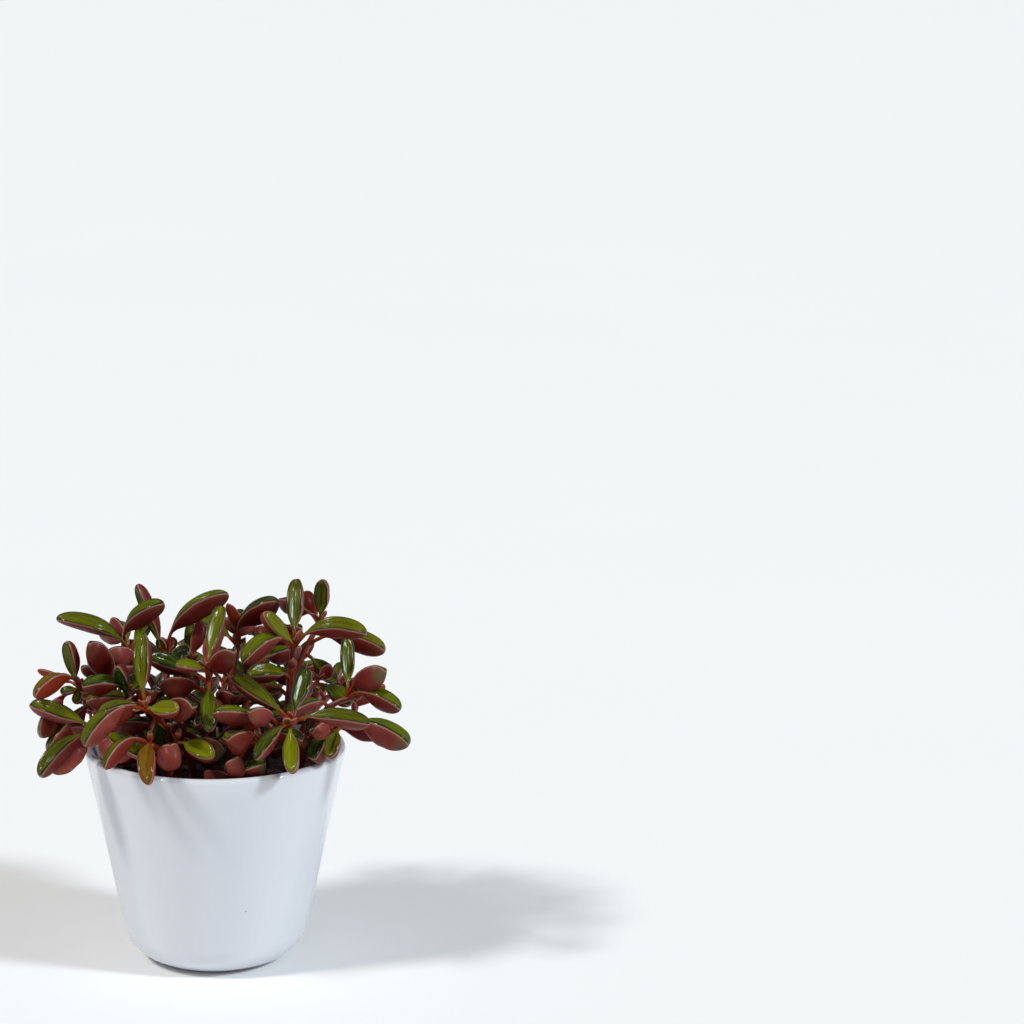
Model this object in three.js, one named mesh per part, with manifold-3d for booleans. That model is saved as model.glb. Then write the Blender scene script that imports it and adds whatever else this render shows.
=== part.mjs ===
// Potted peperomia graveolens: a glazed planter, the potting soil in it, and the leafy stems that
// stand in holes in the soil. Millimetres, +Z up. The origin is the middle of the planter's flat
// base, and -Y is the side that the object is usually seen from.
//
// Each leafy stem is one closed body: a curved stem with its leaves fused to it. A leaf is a short
// petiole and a thick blade, with a shallow groove along its upper face and a keel under it.

import * as THREE from 'three';
import { mergeVertices } from 'three/addons/utils/BufferGeometryUtils.js';
import Module from 'manifold-3d';

const wasm = await Module();
wasm.setup();

// Planter
const RIM_DIAMETER = 100;
const PLANTER_HEIGHT = 84;
const BASE_CORNER_RADIUS = 33;    // where the wall would meet the table without its rounding
const BASE_ROUNDING = 16;
const WALL_THICKNESS = 3.6;
const FLOOR_THICKNESS = 5;
const INNER_ROUNDING = 10;
const PLANTER_SIDES = 40;
const BASE_STEPS = 4;             // flats in the rounding under the wall
const INNER_STEPS = 2;            // flats in the rounding inside
const LIP_ANGLES = [0, 45, 90, 135, 180];

// Soil
const SOIL_TOP = 74;              // height at the wall
const SOIL_CROWN = 1;             // how much higher it is in the middle
const SHOULDER_SHARE = 0.6;       // the crown's shoulder, over the soil's radius
const SHOULDER_RISE = 0.8;        // and over the crown's height
const FIT_GAP = 0.3;              // between pieces that touch
const HOLE_DEPTH = 10.5;
const HOLE_RADIUS = 2.6;
const HOLE_SIDES = 6;
const HOLE_ABOVE = 10;            // how far the cut runs on above the soil

// Stems
const STEM_RADIUS_LOW = 1.9;
const STEM_RADIUS_HIGH = 1.2;
const STEM_FOOT = SOIL_TOP - HOLE_DEPTH + FIT_GAP;
const STEM_SIDES = 5;
const STEM_RINGS = 4;
const STEM_STEP = 0.02;           // share of the stem over which its direction is taken
const STEM_COUNTS = 40;           // steps in which a length along the stem is counted

// Leaves
const PETIOLE_SHARE = 0.19;       // of the leaf's length
const PETIOLE_RADIUS = 0.75;
const PETIOLE_ANGLES = [0, 90, 180, 235, 305];
const LOWER_PETIOLE_ANGLES = [0, 90, 180, 270];
const WIDEST_SHARE = 0.5;         // where along the blade it is widest
const NARROWING_POWER = 3.2;      // a high power keeps the tip blunt
const DEEPEST_SHARE = 0.55;       // where along the blade the keel is deepest
const SHALLOWING_POWER = 2.7;
const TIP_SHALLOWNESS = 0.985;
const KEEL_BASE = 0.55;           // keel depth over width, for a leaf of no length
const KEEL_GROWTH = 0.021;        // and how much deeper it is for each millimetre of length
const KEEL_LIMIT = 1.05;
const GROOVE_SHARE = 0.32;        // groove depth over half the width
const KEEL_ACROSS = 0.55;         // the keel's two lower edges, over half the width
const KEEL_DOWN = 0.93;           // and over the keel's depth
const BLADE_STATIONS = [0.26, 0.6, 0.92];
const SHORT_BLADE_STATIONS = [0.36, 0.86];
const SHORT_LENGTH = 23;           // leaves up to this length, and lower leaves, get the shorter list
const MARGIN_RISE = 0.1;          // over half the width
const TIP_DROP = 0.42;            // over the keel's depth, so that the end is rounded

// Lower leaves, which grow by rule. Angles are in degrees.
const LEAF_SEED = 20;
const LEAF_CLEARANCE = 0.6;       // between the leaves of different stems
const LEAF_CROWDING = 0.5;        // how far two leaves of one stem may press together
const LEAF_TRIES = 4;
const SHORTER_EACH_TRY = 0.03;
const LOWEST_LEAF = 5;            // above the soil
const COMPASS_SPREAD = 12;
const COMPASS_SPREAD_EACH_TRY = 5;
const RISE_SPREAD = 10;
const RISE_SPREAD_EACH_TRY = 2;
const LENGTH_SPREAD = 1.5;
const NARROWEST = 0.9;            // width of a leaf of no length
const WIDTH_OVER_LENGTH = 0.2;
const WIDTH_SPREAD = 0.5;
const TURN_SPREAD = 15;
const ARCH = 0.14;                // over the length
const ARCH_SPREAD = 0.06;

// Beads that stand for the bulk of a stem or leaf while leaves look for room
const STEM_BEADS = 24;
const LEAF_BEADS = [0.18, 0.34, 0.5, 0.66, 0.82, 0.95];
const FIRST_FREE_BEAD = 2;        // the beads before it may touch the stem's other petioles
const BEAD_FULLNESS = 1.1;

// Repeatable random numbers
const RANDOM_MULTIPLIER = 16807;
const RANDOM_MODULUS = 2147483647;

const MERGE_DISTANCE = 1e-4;

// Where pairs of leaves grow on a stem: millimetres below the head, rise in degrees, length.
const NODES = [
  [0, 72, 9],
  [2, 52, 19],
  [6, 32, 26],
  [13, 16, 27],
  [21, 10, 24],
  [30, 18, 20],
  [37, 34, 15],
];

const COLOURS = {
  planter: 0xe4e8ec,
  soil: 0x2b1d15,
  plant: 0x6b2f2a,
};

// Stems. Each has a head at [x, y, z], a root at [x, y] in the soil, and a bend: how far it leans
// before rising (lean) and how high the bend stands (lift). Its leaves are rows of millimetres
// below the head, compass direction, rise, length, width, turn of the upper face, and arch.
// Leaves grow by rule from `from` millimetres below the head.
const STEMS = [
  {
    name: 'leafy_stem_left_tall',
    head: [-34, 5, 119],
    root: [-15, 2],
    lean: 0.35,
    lift: 0.85,
    from: 15,
    rows: [
      [2, 195, 31, 33.5, 6, -45, 0.24],    // long, rising to the left
      [1, 117, 11, 26, 5.8, 10, 0.14],    // long, level to the back left
      [0, 106, 20, 23, 5.5, 35, 0.2],    // middle-sized, level to the back
      [0, 321, 51, 29.5, 6.8, 30, 0.22],    // long, rising to the front right
      [1, 65, 31, 25.5, 5.6, 15, 0.04],    // long, rising to the back right
      [9, 212, 30, 18.5, 7, 25, 0.15],    // middle-sized, rising to the front left
      [10, 249, -12, 18, 6.2, -25, 0.1],    // middle-sized, level to the front
    ],
  },
  {
    name: 'leafy_stem_mid_left_tall',
    head: [-19, 15, 115],
    root: [-9, 7],
    lean: 0.35,
    lift: 0.85,
    from: 11,
    rows: [
      [1, 348, 49, 36.5, 7.2, 10, 0.21],    // long, rising to the right
      [2, 185, 67, 32.5, 4.8, -140, 0.03],    // long, upright
      [0, 226, 65, 8.5, 4.2, -155, 0.05],    // young, upright
      [0, 59, 45, 8.5, 3.8, -85, 0.05],    // young, rising to the back right
      [3, 302, 26, 15.5, 6.6, 40, 0.14],    // small, rising to the front right
      [6, 154, 22, 23.5, 6.4, 30, 0.12],    // middle-sized, level to the back left
    ],
  },
  {
    name: 'leafy_stem_front_left',
    head: [-26, -34, 107],
    root: [-14, -13],
    lean: 0.35,
    lift: 0.85,
    from: 15,
    rows: [
      [1, 96, 61, 29.5, 6.2, -25, 0.1],    // long, rising to the back
      [0, 322, 11, 16, 6.4, 45, 0.08],    // small, level to the front right
      [0, 221, -14, 30.5, 7.2, 10, 0.2],    // long, level to the front left
      [5, 212, 9, 22.5, 7.8, 0, 0.14],    // middle-sized, level to the front left
      [0, 206, 19, 7, 3.6, -55, 0.05],    // young, level to the front left
      [10, 310, 23, 23.5, 7.6, -30, 0.12],    // middle-sized, level to the front right
      [6, 59, 3, 17.5, 5.6, -5, 0.14],    // small, level to the back right
      [7, 85, -51, 20, 6.8, 150, 0.08],    // middle-sized, hanging to the back
    ],
  },
  {
    name: 'leafy_stem_far_left',
    head: [-51, -8, 108],
    root: [-24, -4],
    lean: 0.25,
    lift: 1,
    from: 20,
    rows: [
      [0, 217, 73, 20.5, 5.2, -170, 0.05],    // middle-sized, upright
      [1, 151, 17, 20.5, 2.8, 20, 0.05],    // middle-sized, level to the back left
      [2, 220, 5, 24.5, 6, 5, 0.28],    // middle-sized, level to the front left
      [0, 261, -24, 8, 4, 5, 0.1],    // young, hanging to the front
      [0, 220, 5, 9, 3.6, -30, 0.1],    // young, level to the front left
      [1, 216, -38, 25, 6.6, 40, 0.2],    // long, hanging to the front left
      [10, 210, -35, 31.5, 6.4, 15, 0.08],    // long, hanging to the front left
      [15, 233, 18, 13.5, 4.2, -25, 0.06],    // small, level to the front left
      [12, 225, 69, 25.5, 7.8, 10, 0.14],    // long, upright
    ],
  },
  {
    name: 'leafy_stem_left_low',
    head: [-43, -26, 96],
    root: [-22, -14],
    lean: 0.25,
    lift: 1,
    from: 9,
    rows: [
      [0, 163, 20, 29.5, 6.2, -40, 0.15],    // long, level to the left
      [0, 212, -25, 29, 6.6, -5, 0.18],    // long, hanging to the front left
      [4, 207, -26, 27, 6.6, 40, 0.12],    // long, hanging to the front left
      [0, 310, -7, 27, 6, 35, 0.13],    // long, level to the front right
      [3, 158, 2, 14.5, 5, 5, 0.06],    // small, level to the left
    ],
  },
  {
    name: 'leafy_stem_left_inner',
    head: [-33, -18, 108],
    root: [-17, -7],
    lean: 0.35,
    lift: 0.85,
    from: 13,
    rows: [
      [0, 216, 21, 21.5, 6.8, -25, 0.22],    // middle-sized, level to the front left
      [1, 253, 48, 19.5, 5.2, -180, 0.06],    // middle-sized, rising to the front
      [8, 244, 17, 16.5, 6.6, 30, 0.1],    // small, level to the front left
      [4, 296, 26, 16, 6.8, -10, 0.1],    // small, rising to the front right
    ],
  },
  {
    name: 'leafy_stem_front_mid',
    head: [-3, -25, 119],
    root: [-1, -9],
    lean: 0.35,
    lift: 0.85,
    from: 23,
    rows: [
      [0, 71, 51, 28, 6, 5, 0.06],    // long, rising to the back
      [0, 78, 34, 22, 6, -135, 0.1],    // middle-sized, rising to the back
      [0, 220, 20, 15.5, 4.8, -45, 0.1],    // small, level to the front left
      [8, 157, 18, 27, 6.4, -30, 0.12],    // long, level to the back left
      [7, 270, -38, 23, 6.6, 10, 0.08],    // middle-sized, hanging to the front
      [8, 302, 44, 24, 6.8, 0, 0.12],    // middle-sized, rising to the front right
      [14, 201, 19, 21.5, 7, 40, 0.12],    // middle-sized, level to the left
      [16, 279, -3, 14, 6, 115, 0.12],    // small, level to the front
      [18, 308, 24, 16.5, 7, -20, 0.12],    // small, level to the front right
    ],
  },
  {
    name: 'leafy_stem_mid_inner',
    head: [-9, 8, 113],
    root: [-4, 4],
    lean: 0.35,
    lift: 0.85,
    from: 11,
    rows: [
      [0, 92, 50, 18.5, 5.2, -25, 0.05],    // middle-sized, rising to the back
      [0, 71, 61, 18, 4.8, -105, 0.05],    // middle-sized, rising to the back
      [6, 256, 36, 21, 7, -20, 0.12],    // middle-sized, rising to the front
    ],
  },
  {
    name: 'leafy_stem_mid_tall',
    head: [9, 19, 117],
    root: [4, 9],
    lean: 0.35,
    lift: 0.85,
    from: 23,
    rows: [
      [0, 240, 68, 21, 3.8, -5, 0.14],    // middle-sized, upright
      [0, 324, 50, 29, 7.6, 25, 0.22],    // long, rising to the front right
      [0, 132, 20, 26, 6, -20, 0.1],    // long, level to the back left
      [4, 248, 20, 15.5, 6.6, 0, 0.12],    // small, level to the front
      [18, 287, 12, 20, 7, -35, 0.12],    // middle-sized, level to the front
    ],
  },
  {
    name: 'leafy_stem_right_tall',
    head: [30, -5, 123],
    root: [27, -1],
    lean: 0.35,
    lift: 0.85,
    from: 19,
    rows: [
      [0, 86, 59, 28, 6.4, -10, 0.06],    // long, rising to the back
      [0, 220, 47, 21.5, 5.8, -80, 0.06],    // middle-sized, rising to the front left
      [3, 115, 20, 20, 6, 60, 0.12],    // middle-sized, level to the back left
      [1, 221, 0, 27, 7, -10, 0.28],    // long, level to the front left
      [2, 149, 24, 18, 6.2, 55, 0.1],    // middle-sized, level to the back left
      [1, 340, 17, 31, 7, 25, 0.24],    // long, level to the right
      [0, 1, 69, 7, 3.2, -40, 0.05],    // young, upright
      [14, 218, 16, 22, 6.6, -35, 0.18],    // middle-sized, level to the front left
      [10, 272, 45, 8.5, 3.6, 50, 0.05],    // young, rising to the front
    ],
  },
  {
    name: 'leafy_stem_right_back',
    head: [41, 20, 126],
    root: [25, 11],
    lean: 0.2,
    lift: 0.7,
    from: 18,
    rows: [
      [0, 273, 75, 19, 6, 150, 0.04],    // middle-sized, upright
      [1, 130, 15, 25, 6.2, 10, 0.14],    // long, level to the back left
      [0, 114, 28, 18, 5.6, -175, 0.05],    // middle-sized, rising to the back left
      [10, 343, 1, 32, 7.4, 10, 0.18],    // long, level to the right
      [13, 359, -45, 17.5, 6.2, 55, 0.12],    // small, hanging to the right
    ],
  },
  {
    name: 'leafy_stem_far_right',
    head: [55, -9, 104],
    root: [32, -6],
    lean: 0.2,
    lift: 0.97,
    from: 11,
    rows: [
      [5, 88, 57, 25.5, 5.6, -10, 0.05],    // long, rising to the back
      [6, 325, 40, 23.5, 8, -25, 0.12],    // middle-sized, rising to the front right
      [3, 46, 9, 15.5, 5.6, 90, 0.05],    // small, level to the back right
      [5, 321, 1, 25.5, 6.6, 10, 0.2],    // long, level to the front right
      [0, 297, 34, 5.5, 2.6, 60, 0.2],    // young, rising to the front right
    ],
  },
  {
    name: 'leafy_stem_right_inner',
    head: [39, 4, 106],
    root: [18, 2],
    lean: 0.3,
    lift: 0.8,
    from: 8,
    rows: [
      [0, 322, -18, 17.5, 6.6, 30, 0.12],    // small, hanging to the front right
      [3, 256, 11, 15, 6, 35, 0.12],    // small, level to the front
      [0, 60, 19, 12, 5, -80, 0.1],    // small, level to the back right
    ],
  },
  {
    name: 'leafy_stem_front_right',
    head: [28, -37, 102],
    root: [13, -17],
    lean: 0.35,
    lift: 0.85,
    from: 13,
    rows: [
      [0, 150, 31, 30, 6.2, -25, 0.1],    // long, rising to the back left
      [0, 63, 52, 22.5, 6.4, 5, 0.06],    // middle-sized, rising to the back right
      [0, 340, 5, 31, 6, 35, 0.14],    // long, level to the right
      [1, 270, -37, 22.5, 6.2, 10, 0.05],    // middle-sized, hanging to the front
      [0, 223, -28, 21.5, 5.6, -15, 0.14],    // middle-sized, hanging to the front left
      [0, 240, 27, 6, 3, -155, 0.05],    // young, rising to the front left
      [0, 282, 31, 5, 3.2, 15, 0.05],    // young, rising to the front
      [8, 223, 32, 18, 6.8, 15, 0.12],    // middle-sized, rising to the front left
    ],
  },
  {
    name: 'leafy_stem_right_low',
    head: [47, -25, 97],
    root: [26, -15],
    lean: 0.35,
    lift: 0.85,
    from: 24,
    rows: [
      [0, 246, -32, 16, 6.8, 0, 0.1],    // small, hanging to the front left
      [1, 330, -4, 30.5, 8.2, -5, 0.16],    // long, level to the front right
      [19, 265, 26, 15, 6, 50, 0.06],    // small, rising to the front
      [3, 236, 9, 16, 6, 40, 0.08],    // small, level to the front left
      [9, 259, -17, 17.5, 7.6, 20, 0.08],    // small, hanging to the front
    ],
  },
  {
    name: 'leafy_stem_rim_left',
    head: [-24, -40, 95],
    root: [-17, -27],
    lean: 0.35,
    lift: 0.85,
    from: 12,
    rows: [
      [0, 268, -19, 24.5, 6.4, 5, 0.22],    // middle-sized, hanging to the front
      [7, 161, -2, 24, 8.4, 45, 0.12],    // middle-sized, level to the left
      [1, 229, -5, 26.5, 5, 15, 0.24],    // long, level to the front left
    ],
  },
  {
    name: 'leafy_stem_rim_mid',
    head: [-14, -30, 93],
    root: [-8, -19],
    lean: 0.35,
    lift: 0.85,
    from: 11,
    rows: [
      [0, 313, -4, 19, 7.2, 35, 0.1],    // middle-sized, level to the front right
      [6, 330, 7, 18, 9, -35, 0.12],    // middle-sized, level to the front right
      [2, 94, 11, 15, 5.6, -125, 0.12],    // small, level to the back
    ],
  },
  {
    name: 'leafy_stem_rim_short',
    head: [-17, -35, 79],
    root: [-14, -31],
    lean: 0.4,
    lift: 0.9,
    from: 5,
    rows: [
      [0, 272, 74, 17.5, 8.6, 20, 0.08],    // small, upright
    ],
  },
  {
    name: 'leafy_stem_rim_right',
    head: [17, -29, 92],
    root: [8, -13],
    lean: 0.35,
    lift: 0.85,
    from: 6,
    rows: [
      [1, 227, 19, 19.5, 8.8, 10, 0.14],    // middle-sized, level to the front left
      [0, 119, 27, 18.5, 6.8, 80, 0.12],    // middle-sized, rising to the back left
    ],
  },
  {
    name: 'leafy_stem_mid_back',
    head: [20, 28, 118],
    root: [9, 13],
    lean: 0.35,
    lift: 0.85,
    from: 5,
    rows: [
      [0, 200, 29, 20.5, 6.4, 25, 0.12],    // middle-sized, rising to the left
      [0, 57, 5, 15, 6, -45, 0.1],    // small, level to the back right
    ],
  },
  {
    name: 'leafy_stem_rim_centre',
    head: [8, -35, 80],
    root: [5, -31],
    lean: 0.4,
    lift: 0.9,
    from: 6,
    rows: [
      [0, 331, 35, 14, 7.8, 15, 0.14],    // small, rising to the front right
      [0, 144, -2, 15, 6, 30, 0.08],    // small, level to the back left
      [1, 262, 57, 12, 7.6, 40, 0.06],    // small, rising to the front
    ],
  },
  {
    name: 'leafy_stem_back_left',
    head: [-42, 30, 97],
    root: [-23, 15],
    lean: 0.35,
    lift: 0.85,
    from: 0,
    rows: [],
  },
  {
    name: 'leafy_stem_back_far_left',
    head: [-48, 13, 91],
    root: [-28, 6],
    lean: 0.3,
    lift: 0.95,
    from: 0,
    rows: [],
  },
  {
    name: 'leafy_stem_back_mid_left',
    head: [-21, 46, 100],
    root: [-12, 24],
    lean: 0.35,
    lift: 0.85,
    from: 0,
    rows: [],
  },
  {
    name: 'leafy_stem_back_mid',
    head: [4, 52, 97],
    root: [2, 28],
    lean: 0.35,
    lift: 0.85,
    from: 0,
    rows: [],
  },
  {
    name: 'leafy_stem_back_mid_right',
    head: [30, 46, 99],
    root: [16, 25],
    lean: 0.35,
    lift: 0.85,
    from: 0,
    rows: [],
  },
  {
    name: 'leafy_stem_back_right',
    head: [48, 29, 96],
    root: [31, 20],
    lean: 0.35,
    lift: 0.85,
    from: 0,
    rows: [],
  },
  {
    name: 'leafy_stem_back_far_right',
    head: [54, 12, 89],
    root: [35, 5],
    lean: 0.3,
    lift: 0.95,
    from: 0,
    rows: [],
  },
];

const radians = (degrees) => degrees * Math.PI / 180;

// Closed solids and meshes

function toSolid(geometry) {
  const bare = geometry.clone();
  bare.deleteAttribute('normal');
  bare.deleteAttribute('uv');
  const merged = mergeVertices(bare, MERGE_DISTANCE);
  const index = merged.index.array;
  const triangles = [];
  for (let i = 0; i < index.length; i += 3) {
    const [a, b, c] = [index[i], index[i + 1], index[i + 2]];
    if (a !== b && b !== c && c !== a) {
      triangles.push(a, b, c);
    }
  }
  return new wasm.Manifold(new wasm.Mesh({
    numProp: 3,
    vertProperties: new Float32Array(merged.attributes.position.array),
    triVerts: new Uint32Array(triangles),
  }));
}

function toMesh(name, solid, material) {
  const { vertProperties, triVerts } = solid.getMesh();
  const geometry = new THREE.BufferGeometry();
  geometry.setAttribute('position', new THREE.BufferAttribute(vertProperties, 3));
  geometry.setIndex(new THREE.BufferAttribute(triVerts, 1));
  geometry.computeVertexNormals();
  const mesh = new THREE.Mesh(geometry, material);
  mesh.name = name;
  return mesh;
}

// A closed skin over rings of points. Each ring has the same number of points, counter-clockwise
// seen from the last ring; the ends are closed with one point each.
function loft(start, rings, end) {
  const sides = rings[0].length;
  const points = [start, ...rings.flat(), end];
  const index = [];
  const at = (ring, side) => 1 + ring * sides + side % sides;
  for (let side = 0; side < sides; side += 1) {
    index.push(0, at(0, side + 1), at(0, side));
    for (let ring = 0; ring + 1 < rings.length; ring += 1) {
      index.push(at(ring, side), at(ring, side + 1), at(ring + 1, side));
      index.push(at(ring, side + 1), at(ring + 1, side + 1), at(ring + 1, side));
    }
    index.push(at(rings.length - 1, side), at(rings.length - 1, side + 1), points.length - 1);
  }
  const geometry = new THREE.BufferGeometry().setFromPoints(points);
  geometry.setIndex(index);
  return geometry;
}

// Planter and soil

// Radius of the outer wall's straight line at a height.
function outerRadius(height) {
  const slope = (RIM_DIAMETER / 2 - BASE_CORNER_RADIUS) / PLANTER_HEIGHT;
  return BASE_CORNER_RADIUS + slope * height;
}

// A rounding between a floor and the outward-leaning wall, from the floor to the wall.
function cornerArc(floorHeight, cornerRadius, rounding, steps) {
  const slope = (RIM_DIAMETER / 2 - BASE_CORNER_RADIUS) / PLANTER_HEIGHT;
  const lean = Math.atan(slope);
  const centreX = cornerRadius + slope * rounding - rounding / Math.cos(lean);
  const centreY = floorHeight + rounding;
  const points = [];
  for (let i = 0; i <= steps; i += 1) {
    const angle = -Math.PI / 2 + (Math.PI / 2 - lean) * i / steps;
    points.push(new THREE.Vector2(
      centreX + rounding * Math.cos(angle),
      centreY + rounding * Math.sin(angle),
    ));
  }
  return points;
}

// A profile of radius and height, turned about the Z axis.
function turned(profile) {
  return new THREE.LatheGeometry(profile, PLANTER_SIDES).rotateX(Math.PI / 2);
}

function makePlanter(material) {
  const lip = WALL_THICKNESS / 2;
  const lipCentre = new THREE.Vector2(outerRadius(PLANTER_HEIGHT) - lip, PLANTER_HEIGHT - lip);
  const profile = [
    new THREE.Vector2(0, 0),
    ...cornerArc(0, BASE_CORNER_RADIUS, BASE_ROUNDING, BASE_STEPS),
  ];
  for (const angle of LIP_ANGLES) {
    profile.push(new THREE.Vector2(
      lipCentre.x + lip * Math.cos(radians(angle)),
      lipCentre.y + lip * Math.sin(radians(angle)),
    ));
  }
  const innerCorner = outerRadius(FLOOR_THICKNESS) - WALL_THICKNESS;
  profile.push(...cornerArc(FLOOR_THICKNESS, innerCorner, INNER_ROUNDING, INNER_STEPS).reverse());
  profile.push(new THREE.Vector2(0, FLOOR_THICKNESS));
  return toMesh('planter', toSolid(turned(profile)), material);
}

function makeSoil(stems, material) {
  const floor = FLOOR_THICKNESS + FIT_GAP;
  const innerCorner = outerRadius(floor) - WALL_THICKNESS - FIT_GAP;
  const edge = outerRadius(SOIL_TOP) - WALL_THICKNESS - FIT_GAP;
  const profile = [
    new THREE.Vector2(0, floor),
    ...cornerArc(floor, innerCorner, INNER_ROUNDING, INNER_STEPS),
    new THREE.Vector2(edge, SOIL_TOP),
    new THREE.Vector2(edge * SHOULDER_SHARE, SOIL_TOP + SOIL_CROWN * SHOULDER_RISE),
    new THREE.Vector2(0, SOIL_TOP + SOIL_CROWN),
  ];
  let solid = toSolid(turned(profile));
  for (const { root } of stems) {
    const cut = HOLE_DEPTH + HOLE_ABOVE;
    const hole = new THREE.CylinderGeometry(HOLE_RADIUS, HOLE_RADIUS, cut, HOLE_SIDES);
    hole.rotateX(Math.PI / 2);
    hole.translate(root[0], root[1], SOIL_TOP - HOLE_DEPTH + cut / 2);
    solid = solid.subtract(toSolid(hole));
  }
  return toMesh('soil', solid, material);
}

// Stems

// The stem's centre line: straight up out of the soil, then bending over to its head.
function stemPoint(stem, share) {
  const [rootX, rootY] = stem.root;
  const [headX, headY, headZ] = stem.head;
  const foot = new THREE.Vector3(rootX, rootY, SOIL_TOP + SOIL_CROWN);
  const bend = new THREE.Vector3(
    rootX + (headX - rootX) * stem.lean,
    rootY + (headY - rootY) * stem.lean,
    foot.z + (headZ - foot.z) * stem.lift,
  );
  const rest = 1 - share;
  return foot.multiplyScalar(rest * rest)
    .addScaledVector(bend, 2 * share * rest)
    .addScaledVector(new THREE.Vector3(headX, headY, headZ), share * share);
}

// The point on the stem that lies some millimetres below its head.
function stemPointBelow(stem, down) {
  let left = down;
  let upper = stemPoint(stem, 1);
  for (let i = STEM_COUNTS - 1; i >= 0; i -= 1) {
    const lower = stemPoint(stem, i / STEM_COUNTS);
    const span = upper.distanceTo(lower);
    if (left <= span) {
      return upper.lerp(lower, left / span);
    }
    left -= span;
    upper = lower;
  }
  return upper;
}

function ringAround(centre, along, radius, sides) {
  const across = new THREE.Vector3(0, 1, 0).cross(along).normalize();
  const other = new THREE.Vector3().crossVectors(along, across);
  const points = [];
  for (let side = 0; side < sides; side += 1) {
    const angle = 2 * Math.PI * side / sides;
    points.push(centre.clone()
      .addScaledVector(across, radius * Math.cos(angle))
      .addScaledVector(other, radius * Math.sin(angle)));
  }
  return points;
}

function stemSolid(stem) {
  const up = new THREE.Vector3(0, 0, 1);
  const foot = stemPoint(stem, 0).setZ(STEM_FOOT);
  const rings = [ringAround(foot, up, STEM_RADIUS_LOW, STEM_SIDES)];
  for (let i = 0; i <= STEM_RINGS; i += 1) {
    const share = i / STEM_RINGS;
    const ahead = stemPoint(stem, Math.min(1, share + STEM_STEP));
    const behind = stemPoint(stem, Math.max(0, share - STEM_STEP));
    const along = ahead.sub(behind).normalize();
    if (i === 0) {
      along.add(up).normalize();
    }
    const radius = STEM_RADIUS_LOW + (STEM_RADIUS_HIGH - STEM_RADIUS_LOW) * share;
    rings.push(ringAround(stemPoint(stem, share), along, radius, STEM_SIDES));
  }
  const tip = stemPoint(stem, 1).multiplyScalar(2).sub(stemPoint(stem, 1 - STEM_STEP));
  return toSolid(loft(foot, rings, tip));
}

// Leaves

// Half the blade's width, from 0 to 1, along the blade.
function bladeHalf(share) {
  if (share <= WIDEST_SHARE) {
    return Math.sin(Math.PI / 2 * Math.max(share, 0) / WIDEST_SHARE);
  }
  const past = Math.min(1, (share - WIDEST_SHARE) / (1 - WIDEST_SHARE));
  return Math.sqrt(1 - past ** NARROWING_POWER);
}

// The keel's depth, from 0 to 1, along the blade.
function bladeDeep(share) {
  if (share <= DEEPEST_SHARE) {
    return Math.sin(Math.PI / 2 * Math.max(share, 0) / DEEPEST_SHARE);
  }
  const past = Math.min(1, (share - DEEPEST_SHARE) / (1 - DEEPEST_SHARE));
  return Math.sqrt(1 - TIP_SHALLOWNESS * past ** SHALLOWING_POWER);
}

// The keel's greatest depth: a short leaf is thinner for its width.
function keelDepth(leaf) {
  return leaf.width * Math.min(KEEL_LIMIT, KEEL_BASE + KEEL_GROWTH * leaf.length);
}

// A leaf's direction and the way its upper face looks, from compass direction, rise and turn.
function makeLeaf(stem, [down, compass, rise, length, width, turn, arch]) {
  const [c, r, t] = [radians(compass), radians(rise), radians(turn)];
  const along = new THREE.Vector3(
    Math.cos(r) * Math.cos(c),
    Math.cos(r) * Math.sin(c),
    Math.sin(r),
  );
  const facing = new THREE.Vector3(
    -Math.sin(r) * Math.cos(c),
    -Math.sin(r) * Math.sin(c),
    Math.cos(r),
  );
  const sideways = new THREE.Vector3().crossVectors(along, facing);
  facing.multiplyScalar(Math.cos(t)).addScaledVector(sideways, Math.sin(t));
  return { base: stemPointBelow(stem, down), along, facing, length, width, arch };
}

// A point on the leaf's midline, which arches towards the upper face.
function leafPoint(leaf, share) {
  return leaf.base.clone()
    .addScaledVector(leaf.along, leaf.length * share)
    .addScaledVector(leaf.facing, leaf.length * leaf.arch * 4 * share * (1 - share));
}

function leafAxes(leaf, share) {
  const along = leaf.along.clone()
    .addScaledVector(leaf.facing, leaf.arch * 4 * (1 - 2 * share))
    .normalize();
  const up = leaf.facing.clone().addScaledVector(along, -leaf.facing.dot(along)).normalize();
  const side = new THREE.Vector3().crossVectors(up, along);
  return { along, up, side };
}

// A petiole ring, whose points start at the margin as the blade's sections do.
function petioleRing(leaf, share) {
  const { up, side } = leafAxes(leaf, share);
  const angles = leaf.lower ? LOWER_PETIOLE_ANGLES : PETIOLE_ANGLES;
  return angles.map(radians).map((angle) => leafPoint(leaf, share)
    .addScaledVector(side, PETIOLE_RADIUS * Math.cos(angle))
    .addScaledVector(up, PETIOLE_RADIUS * Math.sin(angle)));
}

// One section of the blade: two margins, the groove between them and the keel, which has two
// edges, or one on a lower leaf.
function bladeRing(leaf, station) {
  const share = PETIOLE_SHARE + (1 - PETIOLE_SHARE) * station;
  const { up, side } = leafAxes(leaf, share);
  const half = leaf.width / 2 * bladeHalf(station);
  const deep = keelDepth(leaf) * bladeDeep(station);
  const upper = [
    [half, MARGIN_RISE * half],
    [0, -GROOVE_SHARE * half],
    [-half, MARGIN_RISE * half],
  ];
  const keel = leaf.lower ? [[0, -deep]] : [
    [-KEEL_ACROSS * half, -KEEL_DOWN * deep],
    [KEEL_ACROSS * half, -KEEL_DOWN * deep],
  ];
  return [...upper, ...keel].map(([x, y]) => leafPoint(leaf, share)
    .addScaledVector(side, x)
    .addScaledVector(up, y));
}

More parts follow.
